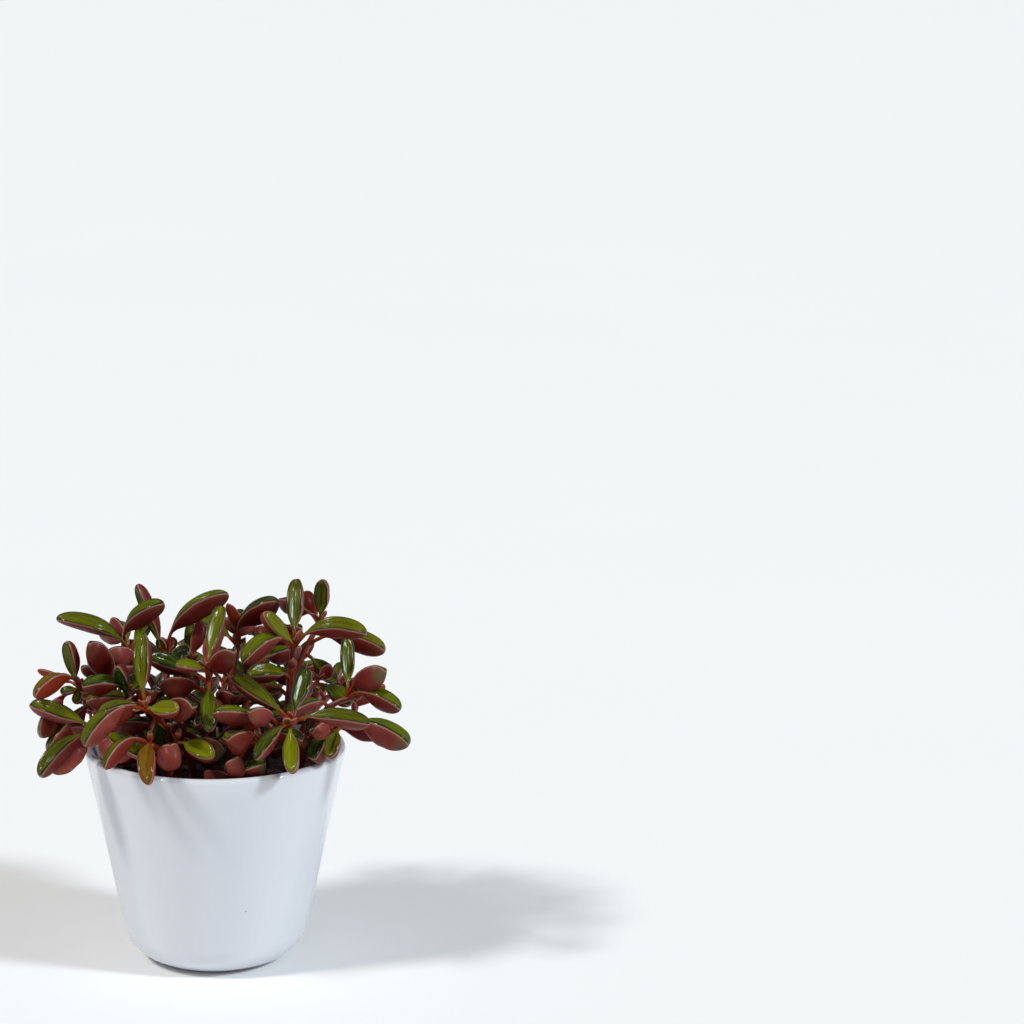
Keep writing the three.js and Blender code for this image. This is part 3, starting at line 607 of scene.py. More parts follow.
def new_material(name):
    """A material with only a Principled shader; returns it, its graph and the shader's inputs."""
    material = bpy.data.materials.new(name)
    material.use_nodes = True
    shader = material.node_tree.nodes["Principled BSDF"]
    return material, Graph(material.node_tree), shader.inputs


# Materials

def glaze_material(settings):
    """Glossy white glaze with slow waves in it, a thinner edge and a few pinholes."""
    material, graph, shader = new_material("planter_glaze")
    grain = graph.group(grain_group(), **{"Broad scale": 22.0, "Fine scale": 420.0})
    space = graph.add("ShaderNodeTexCoord").outputs["Object"]
    height = graph.add("ShaderNodeSeparateXYZ", {"Vector": space}).outputs["Z"]
    rim = settings.height
    thin = graph.math("MULTIPLY", graph.ramp(height, rim - 0.0035, rim - 0.0006), 0.55)
    uneven = graph.ramp(grain["Broad"], 0.35, 0.75, 0.0, 0.22)
    worn = graph.math("MAXIMUM", thin, uneven)
    glaze = graph.blend(worn, solid(settings.glaze), solid(settings.glaze_shade))
    pinholes = graph.group(specks_group(), Scale=95.0, Size=0.035, Share=0.05)["Mask"]
    tinted = graph.blend(graph.math("MULTIPLY", pinholes, 0.8), glaze, solid(settings.speck))
    graph.plug(shader["Base Color"], tinted)
    rough = graph.ramp(
        grain["Fine"], 0.3, 0.8, settings.glaze_roughness, settings.glaze_roughness + 0.07
    )
    graph.plug(shader["Roughness"], rough)
    rings = graph.add("ShaderNodeCombineXYZ", {"Z": height}).outputs["Vector"]
    bands = graph.noise(rings, 160.0, 2.0)
    waves = graph.math("ADD", grain["Broad"], graph.math("MULTIPLY", bands, 0.12))
    add_relief(graph, shader, waves, 0.0009, grain["Fine"], 0.000012)
    shader["IOR"].default_value = 1.5
    shader["Coat Weight"].default_value = 0.5
    shader["Coat Roughness"].default_value = 0.04
    return material


def clay_material(settings):
    """Fired clay of the unglazed foot, with a sandy grain."""
    material, graph, shader = new_material("fired_clay")
    grain = graph.group(grain_group(), **{"Broad scale": 90.0, "Fine scale": 2200.0})
    dark = tuple(0.72 * part for part in settings.clay)
    mottled = graph.blend(graph.ramp(grain["Broad"], 0.35, 0.7), solid(settings.clay), solid(dark))
    graph.plug(shader["Base Color"], mottled)
    graph.plug(shader["Roughness"], graph.ramp(grain["Fine"], 0.3, 0.7, 0.75, 0.95))
    add_relief(graph, shader, grain["Broad"], 0.0001, grain["Fine"], 0.00006)
    return material


def soil_material(settings):
    """Damp peat mix: dark, with drier crumbs and a fibrous grain."""
    material, graph, shader = new_material("potting_soil")
    grain = graph.group(grain_group(), **{"Broad scale": 230.0, "Fine scale": 2600.0})
    dryness = graph.add("ShaderNodeAttribute", attribute_name="soil_dryness").outputs["Fac"]
    patches = graph.ramp(grain["Broad"], 0.42, 0.72, 0.0, 0.5)
    dry = graph.math("ADD", patches, graph.math("MULTIPLY", dryness, 0.6))
    base = graph.blend(dry, solid(settings.dark), solid(settings.light))
    pale = tuple(min(1.0, 2.6 * part) for part in settings.light)
    grit = graph.group(specks_group(), Scale=700.0, Size=0.3, Share=0.05)["Mask"]
    graph.plug(shader["Base Color"], graph.blend(grit, base, solid(pale)))
    graph.plug(shader["Roughness"], graph.ramp(grain["Fine"], 0.3, 0.7, 0.8, 1.0))
    add_relief(graph, shader, grain["Broad"], 0.0008, grain["Fine"], 0.0002)
    return material


def leaf_material(name, settings, specular, coat, coat_roughness):
    """Fleshy leaf: a glossy green upper face in a pale margin, and a wine red underside with
    painted light on it in rose. The colours run on across the margin, and the two faces differ
    in their gloss."""
    material, graph, shader = new_material(name)
    place = graph.add("ShaderNodeAttribute", attribute_name="leaf_place").outputs["Vector"]
    place = graph.add("ShaderNodeSeparateXYZ", {"Vector": place}).outputs
    edge, along, along_mm = place["X"], place["Y"], place["Z"]
    look = graph.add("ShaderNodeAttribute", attribute_name="leaf_look").outputs["Vector"]
    look = graph.add("ShaderNodeSeparateXYZ", {"Vector": look}).outputs
    yellow, pink, frost = look["X"], look["Y"], look["Z"]
    orange = graph.add("ShaderNodeAttribute", attribute_name="leaf_orange").outputs["Fac"]
    grain = graph.group(grain_group(), **{"Broad scale": 170.0, "Fine scale": 2600.0})
    streak_space = graph.add(
        "ShaderNodeCombineXYZ",
        {
            "X": graph.math("MULTIPLY", edge, 2.2),
            "Y": graph.math("MULTIPLY", along_mm, 0.16),
            "Z": graph.math("MULTIPLY", yellow, 37.0),
        },
    ).outputs["Vector"]
    streaks = graph.noise(streak_space, 1.0, 3.0)

    wander = graph.math("MULTIPLY", graph.math("SUBTRACT", grain["Broad"], 0.5), 0.45)
    ragged = graph.math("ADD", edge, wander)
    width = settings.margin_width / MM
    upper = graph.ramp(ragged, 0.25 * width, 0.75 * width)
    beside = graph.math("MAXIMUM", ragged, graph.math("MULTIPLY", ragged, -2.2))
    band = graph.ramp(beside, 0.3 * width, 1.2 * width, 1.0, 0.0)

    fresh = graph.math("ADD", yellow, graph.ramp(along, 0.5, 0.16, 0.0, 0.5))
    fresh = graph.math("ADD", fresh, graph.ramp(streaks, 0.3, 0.75, -0.18, 0.2))
    fresh = graph.math("ADD", fresh, graph.ramp(edge, 0.5, 2.1, -0.40, 0.08))
    green = graph.blend(fresh, solid(settings.deep_green), solid(settings.fresh_green))
    green = graph.blend(graph.math("MULTIPLY", orange, 0.45), green, solid(settings.orange))

    # Painted light on the underside: it turns from its colour in shade (wine) to its colour in
    # light (rose) by the leaf's pink look and in broad patches. Near the margin it also gets a
    # painted sheen.
    underside_painted_light = graph.math("MULTIPLY", pink, graph.ramp(grain["Broad"], 0.25, 0.75, 0.55, 1.15))
    underside_painted_light = graph.math("ADD", underside_painted_light, graph.ramp(edge, -2.6, -0.2, 0.0, 0.3))
    under = graph.blend(underside_painted_light, solid(settings.wine), solid(settings.rose))
    tip = graph.math("MULTIPLY", frost, graph.ramp(along, 0.80, 1.0))
    tip = graph.math("MULTIPLY", tip, graph.ramp(grain["Broad"], 0.3, 0.6, 0.55, 0.95))
    under = graph.blend(tip, under, solid(settings.frost))
    warmth = graph.math("ADD", orange, graph.ramp(along, 0.5, 0.12, 0.0, 0.85), clamp=True)
    under = graph.blend(graph.math("MULTIPLY", warmth, 0.8), under, solid(settings.orange))

    both = graph.blend(upper, under, green)
    pale = graph.math("MULTIPLY", band, graph.ramp(along, 0.17, 0.32))
    both = graph.blend(graph.math("MULTIPLY", pale, 0.62), both, solid(settings.margin))
    stalk = graph.ramp(along, 0.24, 0.13)
    both = graph.blend(graph.math("MULTIPLY", stalk, 0.9), both, solid(settings.orange))
    specks = graph.group(specks_group(), Scale=620.0, Size=0.13, Share=0.035)["Mask"]
    both = graph.blend(graph.math("MULTIPLY", specks, 0.7), both, solid(settings.speck))
    graph.plug(shader["Base Color"], both)

    rough = graph.ramp(upper, 0.0, 1.0, 0.36, 0.11)
    rough = graph.math("ADD", rough, graph.ramp(grain["Fine"], 0.3, 0.8, -0.02, 0.05))
    graph.plug(shader["Roughness"], rough)
    lengthwise = graph.math("MULTIPLY", streaks, graph.ramp(along, 0.1, 0.3, 0.3, 1.0))
    add_relief(graph, shader, lengthwise, 0.0001, grain["Fine"], 0.000022)
    shader["Subsurface Weight"].default_value = 0.12
    shader["Subsurface Radius"].default_value = (1.0, 0.45, 0.2)
    shader["Subsurface Scale"].default_value = 0.0012
    shader["Specular IOR Level"].default_value = specular
    shader["Coat Weight"].default_value = coat
    shader["Coat Roughness"].default_value = coat_roughness
    return material


def stem_material(settings):
    """Juicy red stem, browner towards the soil, with fine lengthwise streaks."""
    material, graph, shader = new_material("stem")
    place = graph.add("ShaderNodeAttribute", attribute_name="leaf_place").outputs["Vector"]
    place = graph.add("ShaderNodeSeparateXYZ", {"Vector": place}).outputs
    around, up, up_mm = place["X"], place["Y"], place["Z"]
    grain = graph.group(grain_group(), **{"Broad scale": 240.0, "Fine scale": 2600.0})
    streak_space = graph.add(
        "ShaderNodeCombineXYZ",
        {"X": graph.math("MULTIPLY", around, 2.5), "Y": graph.math("MULTIPLY", up_mm, 0.3)},
    ).outputs["Vector"]
    streaks = graph.noise(streak_space, 1.0, 3.0)
    age = graph.math("ADD", graph.ramp(up, 0.6, 0.05), graph.ramp(streaks, 0.35, 0.75, -0.25, 0.3))
    flesh = graph.blend(age, solid(settings.red), solid(settings.brown))
    pale = tuple(min(1.0, 1.9 * part) for part in settings.red)
    lines = graph.math("MULTIPLY", graph.ramp(streaks, 0.58, 0.72), 0.4)
    graph.plug(shader["Base Color"], graph.blend(lines, flesh, solid(pale)))
    graph.plug(shader["Roughness"], graph.ramp(grain["Fine"], 0.3, 0.8, 0.3, 0.48))
    add_relief(graph, shader, streaks, 0.0002, grain["Fine"], 0.00002)
    shader["Subsurface Weight"].default_value = 0.15
    shader["Subsurface Radius"].default_value = (1.0, 0.35, 0.2)
    shader["Subsurface Scale"].default_value = 0.001
    shader["Coat Weight"].default_value = 0.15
    shader["Coat Roughness"].default_value = 0.2
    return material


def floor_material(settings):
    """Matt paper of the floor, with a hardly visible grain."""
    material, graph, shader = new_material("floor_paper")
    grain = graph.group(grain_group(), **{"Broad scale": 3.0, "Fine scale": 500.0})
    shade = tuple(0.985 * part for part in settings.floor)
    paper = graph.blend(grain["Broad"], solid(settings.floor), solid(shade))
    graph.plug(shader["Base Color"], paper)
    shader["Roughness"].default_value = 0.9
    shader["Specular IOR Level"].default_value = 0.1
    return material


# Meshes

class Skin:
    """Points, faces and per-point values of one mesh, in millimetres."""

    def __init__(self):
        self.points = []
        self.faces = []
        self.slots = []
        self.values = {}
        self.count = 0

    def add(self, points, faces, slot=0, **values):
        points = np.asarray(points, float)
        self.points.append(points)
        self.faces.extend(tuple(self.count + corner for corner in face) for face in faces)
        self.slots.extend([slot] * len(faces) if isinstance(slot, int) else slot)
        for name, entry in values.items():
            entry = np.asarray(entry, float)
            if entry.ndim < 2 and len(entry) != len(points):
                entry = np.tile(entry, (len(points), 1))
            self.values.setdefault(name, []).append(entry)
        self.count += len(points)

    def to_object(self, name, materials):
        mesh = bpy.data.meshes.new(name)
        mesh.from_pydata((np.concatenate(self.points) * MM).tolist(), [], self.faces)
        for title, entries in self.values.items():
            data = np.concatenate(entries)
            flat = data.ndim == 1 or data.shape[1] == 1
            attribute = mesh.attributes.new(title, "FLOAT" if flat else "FLOAT_VECTOR", "POINT")
            attribute.data.foreach_set("value" if flat else "vector", data.ravel())
        for material in materials:
            mesh.materials.append(material)
        mesh.polygons.foreach_set("material_index", self.slots)
        mesh.polygons.foreach_set("use_smooth", [True] * len(mesh.polygons))
        mesh.update()
        piece = bpy.data.objects.new(name, mesh)
        bpy.context.scene.collection.objects.link(piece)
        return piece


def tube_faces(rings, sides):
    """Faces over rings of points with a single point before the first and after the last."""
    faces = []
    last = 1 + rings * sides
    for side in range(sides):
        after = (side + 1) % sides
        faces.append((0, 1 + after, 1 + side))
        for ring in range(rings - 1):
            low, high = 1 + ring * sides, 1 + (ring + 1) * sides
            faces.append((low + side, low + after, high + after, high + side))
        low = 1 + (rings - 1) * sides
        faces.append((low + side, low + after, last))
    return faces


def turned(profile, sides):
    """Points and faces of a profile of radius and height that starts and ends on the axis."""
    angles = np.arange(sides) * 2 * math.pi / sides
    rings = [
        np.column_stack((radius * np.cos(angles), radius * np.sin(angles), np.full(sides, height)))
        for radius, height in profile[1:-1]
    ]
    ends = [[(0, 0, profile[0][1])], [(0, 0, profile[-1][1])]]
    points = np.concatenate([ends[0], *rings, ends[1]])
    return points, tube_faces(len(rings), sides)


# Planter

PLANTER_SIDES = 160
INNER_ROUNDING = 0.01             # metres, between the planter's floor and its wall inside


def outer_radius(settings, height):
    """Radius of the outer wall's straight line at a height, in metres."""
    slope = (settings.rim_diameter / 2 - settings.base_corner_radius) / settings.height
    return settings.base_corner_radius + slope * height


def corner_arc(settings, floor, corner_radius, rounding, steps):
    """A rounding between a floor and the leaning wall, from the floor to the wall, in metres."""
    slope = (settings.rim_diameter / 2 - settings.base_corner_radius) / settings.height
    lean = math.atan(slope)
    centre = corner_radius + slope * rounding - rounding / math.cos(lean)
    arc = []
    for i in range(steps + 1):
        angle = -math.pi / 2 + (math.pi / 2 - lean) * i / steps
        arc.append((
            centre + rounding * math.cos(angle),
            floor + rounding + rounding * math.sin(angle),
        ))
    return arc


def wall_points(low, high, steps):
    """Points between two points of a profile, without the two."""
    return [
        (low[0] + (high[0] - low[0]) * i / steps, low[1] + (high[1] - low[1]) * i / steps)
        for i in range(1, steps)
    ]


def planter_profile(settings):
    """The planter's section in metres, and how many of its rings are the unglazed foot."""
    wall = settings.wall_thickness
    recess = settings.foot_recess
    arc = corner_arc(settings, 0, settings.base_corner_radius, settings.base_rounding, 18)
    flat = arc[0][0]
    foot = [(0, recess), (0.3 * flat, recess), (0.66 * flat, recess), (0.72 * flat, 0)]
    lip = wall / 2
    lip_x = outer_radius(settings, settings.height) - lip
    lip_z = settings.height - lip
    steps = 14
    rim = [
        (lip_x + lip * math.cos(math.pi * i / steps), lip_z + lip * math.sin(math.pi * i / steps))
        for i in range(steps + 1)
    ]
    inner_corner = outer_radius(settings, settings.floor_thickness) - wall
    inner = corner_arc(settings, settings.floor_thickness, inner_corner, INNER_ROUNDING, 8)[::-1]
    profile = foot + arc + wall_points(arc[-1], rim[0], 10) + rim
    profile += wall_points(rim[-1], inner[0], 10) + inner + [(0, settings.floor_thickness)]
    return profile, len(foot) - 1


def build_planter(settings):
    profile, foot_rings = planter_profile(settings)
    points, faces = turned([(x / MM, z / MM) for x, z in profile], PLANTER_SIDES)
    skin = Skin()
    skin.add(points, faces)
    piece = skin.to_object("glazed_planter", [glaze_material(settings), clay_material(settings)])
    foot_points = 1 + (foot_rings + 1) * PLANTER_SIDES
    for face in piece.data.polygons:
        if max(face.vertices) < foot_points:
            face.material_index = 1
    return piece


# Soil

SOIL_GAP = 0.0002                 # metres, between the soil and the planter
CRUMB_SEED = 11


def soil_height(x, y, lump):
    """Height of the soil's surface in millimetres."""
    crown = SOIL_CROWN * max(0.0, 1 - (math.hypot(x, y) / SOIL_CROWN_REACH) ** 2)
    broad = noise.fractal(Vector((x * 0.16, y * 0.16, 3.1)), 0.9, 2.1, 4)
    fine = noise.fractal(Vector((x * 0.9, y * 0.9, 7.7)), 0.8, 2.0, 3)
    return SOIL_TOP + crown + lump * (0.8 * broad + 0.35 * fine)


def crumb(centre, radius, draw):
    """Points and faces of one irregular crumb."""
    rings, sides = 4, 7
    points = [centre + (0, 0, -radius * 0.6)]
    for ring in range(rings):
        polar = math.pi * (ring + 1) / (rings + 1)
        for side in range(sides):
            angle = 2 * math.pi * side / sides + 0.4 * ring
            size = radius * draw.uniform(0.72, 1.15)
            points.append(centre + (
                size * math.sin(polar) * math.cos(angle),
                size * math.sin(polar) * math.sin(angle),
                -0.75 * size * math.cos(polar),
            ))
    points.append(centre + (0, 0, radius * 0.6))
    return points, tube_faces(rings, sides)


def fibre(start, lump, draw):
    """Points and faces of one thin curved peat fibre that lies on the soil."""
    rings, sides = 7, 4
    heading = draw.uniform(0, 2 * math.pi)
    turn = draw.uniform(-0.35, 0.35)
    step = draw.uniform(0.6, 1.3)
    radius = draw.uniform(0.09, 0.2)
    x, y = start
    centres = []
    for _ in range(rings + 2):
        centres.append(np.array([x, y, soil_height(x, y, lump) + radius]))
        heading += turn
        x += step * math.cos(heading)
        y += step * math.sin(heading)
    points = [centres[0]]
    for before, centre, after in zip(centres, centres[1:], centres[2:]):
        along = (after - before) / np.linalg.norm(after - before)
        side = np.cross(along, (0, 0, 1))
        side /= np.linalg.norm(side)
        top = np.cross(side, along)
        for i in range(sides):
            angle = 2 * math.pi * i / sides
            points.append(centre + radius * (math.cos(angle) * side + math.sin(angle) * top))
    points.append(centres[-1])
    return points, tube_faces(rings, sides)


def build_soil(settings, planter):
    """Soil that fills the planter, with lumps, loose crumbs and fibres on top."""
    lump = settings.lump_height / MM
    floor = planter.floor_thickness + SOIL_GAP
    inner = outer_radius(planter, floor) - planter.wall_thickness - SOIL_GAP
    edge = (outer_radius(planter, SOIL_TOP * MM) - planter.wall_thickness - SOIL_GAP) / MM
    arc = corner_arc(planter, floor, inner, INNER_ROUNDING, 6)
    sides, top_rings = 120, 46
    profile = [(0, floor / MM)] + [(x / MM, z / MM) for x, z in arc]
    profile += [(edge * (1 - i / top_rings), SOIL_TOP) for i in range(top_rings)]
    profile += [(0, SOIL_TOP)]
    points, faces = turned(profile, sides)
    first = 1 + len(arc) * sides
    for i in range(first, len(points)):
        points[i][2] = soil_height(points[i][0], points[i][1], lump)
    skin = Skin()
    skin.add(points, faces, soil_dryness=np.zeros(len(points)))
    draw = random.Random(CRUMB_SEED)
    for _ in range(settings.crumbs):
        out = (edge - 1.5) * math.sqrt(draw.random())
        angle = draw.uniform(0, 2 * math.pi)
        x, y = out * math.cos(angle), out * math.sin(angle)
        radius = settings.crumb_radius / MM * draw.uniform(0.25, 1.0) ** 1.6
        centre = np.array([x, y, soil_height(x, y, lump) + 0.2 * radius])
        points, faces = crumb(centre, radius, draw)
        skin.add(points, faces, soil_dryness=np.full(len(points), draw.random() ** 2))
    for _ in range(settings.fibres):
        out = (edge - 9) * math.sqrt(draw.random())
        angle = draw.uniform(0, 2 * math.pi)
        start = out * math.cos(angle), out * math.sin(angle)
        points, faces = fibre(start, lump, draw)
        skin.add(points, faces, soil_dryness=np.full(len(points), draw.uniform(0.5, 1.0)))
    return skin.to_object("crumbly_soil", [soil_material(settings)])


# Where stems and leaves grow

def stem_point(stem, share):
    """The stem's centre line: up out of the soil, then bending over to its head."""
    foot = np.array([*stem["root"], SOIL_TOP + SOIL_CROWN], float)
    head = np.array(stem["head"], float)
    bend = foot + (head - foot) * (stem["lean"], stem["lean"], stem["lift"])
    rest = 1 - share
    return foot * rest * rest + bend * 2 * share * rest + head * share * share


def stem_point_below(stem, down):
    """The point on the stem that lies some millimetres below its head."""
    left = down
    upper = stem_point(stem, 1)
    for i in range(STEM_COUNTS - 1, -1, -1):
        lower = stem_point(stem, i / STEM_COUNTS)
        span = np.linalg.norm(upper - lower)
        if left <= span:
            return upper + (lower - upper) * (left / span)
        left -= span
        upper = lower
    return upper


def blade_half(share):
    """Half the blade's width, from 0 to 1, along the blade."""
    if share <= WIDEST_SHARE:
        return math.sin(math.pi / 2 * max(share, 0) / WIDEST_SHARE)
    past = min(1, (share - WIDEST_SHARE) / (1 - WIDEST_SHARE))
    return math.sqrt(1 - past ** NARROWING_POWER)


def blade_deep(share):
    """The keel's depth, from 0 to 1, along the blade."""
    if share <= DEEPEST_SHARE:
        return math.sin(math.pi / 2 * max(share, 0) / DEEPEST_SHARE)
    past = min(1, (share - DEEPEST_SHARE) / (1 - DEEPEST_SHARE))
    return math.sqrt(1 - TIP_SHALLOWNESS * past ** SHALLOWING_POWER)


class Leaf:
    """One leaf's place and size."""

    def __init__(self, stem, down, compass, rise, length, width, turn, arch, look):
        c, r, t = math.radians(compass), math.radians(rise), math.radians(turn)
        self.along = np.array([math.cos(r) * math.cos(c), math.cos(r) * math.sin(c), math.sin(r)])
        facing = np.array([-math.sin(r) * math.cos(c), -math.sin(r) * math.sin(c), math.cos(r)])
        sideways = np.cross(self.along, facing)
        self.facing = facing * math.cos(t) + sideways * math.sin(t)
        self.base = stem_point_below(stem, down)
        self.down = down
        self.length = length
        self.width = width
        self.arch = arch
        self.look = look

    def keel(self):
        """The keel's greatest depth: a short leaf is thinner for its width."""
        return self.width * min(KEEL_LIMIT, KEEL_BASE + KEEL_GROWTH * self.length)

    def point(self, share):
        """A point on the midline, which arches towards the upper face."""
        rise = self.length * self.arch * 4 * share * (1 - share)
        return self.base + self.along * (self.length * share) + self.facing * rise

    def axes(self, share):
        """Directions along the leaf, out of its upper face and across it."""
        along = self.along + self.facing * (self.arch * 4 * (1 - 2 * share))
        along = along / np.linalg.norm(along)
        up = self.facing - along * (self.facing @ along)
        up = up / np.linalg.norm(up)
        return along, up, np.cross(up, along)

    def beads(self):
        """Beads that stand for the leaf's bulk: centres and radii."""
        centres, radii = [], []
        for share in LEAF_BEADS:
            station = (share - PETIOLE_SHARE) / (1 - PETIOLE_SHARE)
            half = max(self.width / 2 * blade_half(station), PETIOLE_RADIUS)
            deep = self.keel() * blade_deep(station)
            centres.append(self.point(share) - self.facing * (deep / 2))
            radii.append(max(half, deep / 2) * BEAD_FULLNESS)
        return np.array(centres), np.array(radii)


def stem_beads(stem):
    shares = [i / STEM_BEADS for i in range(STEM_BEADS + 1)]
    centres = np.array([stem_point(stem, share) for share in shares])
    radii = STEM_RADIUS_LOW + (STEM_RADIUS_HIGH - STEM_RADIUS_LOW) * np.array(shares)
    return centres, radii


def too_close(beads, others, clearance):
    gaps = np.linalg.norm(beads[0][:, None] - others[0][None], axis=2)
    return bool((gaps < beads[1][:, None] + others[1][None] + clearance).any())


def meets_planter(beads, planter):
    """Whether a bead would touch the planter's wall or the soil."""
    wall = planter.wall_thickness / MM / 2
    top = planter.height / MM - wall
    for centre, radius in zip(*beads):
        out = math.hypot(centre[0], centre[1])
        outside = outer_radius(planter, min(centre[2], top) * MM) / MM - wall
        across, above = out - outside, max(0, centre[2] - top)
        if math.hypot(across, above) < radius + wall + LEAF_CLEARANCE:
            return True
        if across < 0 and centre[2] - radius < SOIL_TOP + SOIL_CROWN + LEAF_CLEARANCE:
            return True
    return False


def joined(beads):
    return np.concatenate([b[0] for b in beads]), np.concatenate([b[1] for b in beads])


def repeatable(seed):
    """A function that gives the same random numbers from 0 to 1 in every run."""
    state = seed

    def draw():
        nonlocal state
        state = state * RANDOM_MULTIPLIER % RANDOM_MODULUS
        return (state - 1) / (RANDOM_MODULUS - 1)

    return draw


def grow_leaves(planter):
    """All leaves of every stem. Those grown by rule stand in opposite pairs, each pair turned a
    quarter from the last, where they touch neither another stem's leaves nor the planter."""
    draw = repeatable(LEAF_SEED)
    looks = random.Random(LOOK_SEED)

    def spread(middle, reach):
        return middle + (2 * draw() - 1) * reach

    grown = [[Leaf(stem, *row) for row in stem["leaves"]] for stem in STEMS]
    own = [[leaf.beads() for leaf in leaves] for leaves in grown]
    for number, stem in enumerate(STEMS):
        others = joined([
            beads for i, other in enumerate(STEMS) if i != number
            for beads in [stem_beads(other), *own[i]]
        ])
        quarter = 90 * draw()
        for down, rise, size_here in NODES:
            quarter += 90
            low = stem_point_below(stem, down)[2] < SOIL_TOP + LOWEST_LEAF
            if down < stem["grown_from"] or low:
                continue
            for opposite in (0, 180):
                for attempt in range(LEAF_TRIES):
                    size = size_here * (1 - SHORTER_EACH_TRY * attempt)
                    strayed = COMPASS_SPREAD + COMPASS_SPREAD_EACH_TRY * attempt
                    leaf = Leaf(
                        stem,
                        down,
                        spread(quarter + opposite, strayed),
                        spread(rise, RISE_SPREAD + RISE_SPREAD_EACH_TRY * attempt),
                        spread(size, LENGTH_SPREAD),
                        spread(NARROWEST + WIDTH_OVER_LENGTH * size, WIDTH_SPREAD),
                        spread(0, TURN_SPREAD),
                        spread(ARCH, ARCH_SPREAD),
                        "green",
                    )
                    beads = leaf.beads()
                    free_end = beads[0][FIRST_FREE_BEAD:], beads[1][FIRST_FREE_BEAD:]
                    crowded = own[number] and too_close(
                        free_end, joined(own[number]), -LEAF_CROWDING
                    )
                    if too_close(beads, others, LEAF_CLEARANCE) or crowded:
                        continue
                    if meets_planter(beads, planter):
                        continue
                    young = "young" if down == 0 else "green"
                    leaf.look = looks.choice((young, "green", "dark", "pink", "frosted"))
                    grown[number].append(leaf)
                    own[number].append(beads)
                    break
    return grown


# Fine leaves and stems

BLADE_STATIONS = (
    0.015, 0.04, 0.08, 0.13, 0.19, 0.26, 0.33, 0.41, 0.5, 0.58, 0.66, 0.73, 0.8, 0.86, 0.91,
    0.945, 0.97, 0.985, 0.994, 0.999,
)
PETIOLE_STATIONS = (0, 0.04, 0.08, 0.12, 0.15)
SIDES = 28
BLENDING = 0.22                   # share of the blade over which the petiole opens into it
BELLY_POWER = 0.85
GROOVE_END = (0.8, 0.98)          # where along the blade the groove runs out
GROOVE_REACH = 0.8                # share of the half width that slopes into the groove
THINNEST = 0.1
TIP_MEET = 0.26                   # where a long leaf's faces meet at its tip, over its depth
TIP_MEET_LENGTH = 28              # from this length on
BOW_START = 0.84                  # where along the blade the upper face starts to bow down
NOTCH_START = 0.88
NOTCH_REACH = 0.75
UPPER_SLOT, UNDER_SLOT, STEM_SLOT = 0, 1, 2
SWAY = 0.022                      # largest sideways curve of a leaf, over its length
DENT = 0.05                       # largest dent in a leaf, over its width
FULL_PETIOLE_LENGTH = 12          # a shorter leaf has a thinner petiole
BUD_PAIRS = ((5.5, 58), (3.6, 78))  # length and rise of the pairs in a stem's growing point
BUD_WIDTH = 0.36                  # over the bud's length
BUD_SIDES = 14
STEM_RINGS = 40
STEM_SIDES = 14
JOINT_REACH = 1.1                 # how far along the stem a joint's swelling reaches


def smooth(value, low, high):
    part = min(1.0, max(0.0, (value - low) / (high - low)))
    return part * part * (3 - 2 * part)


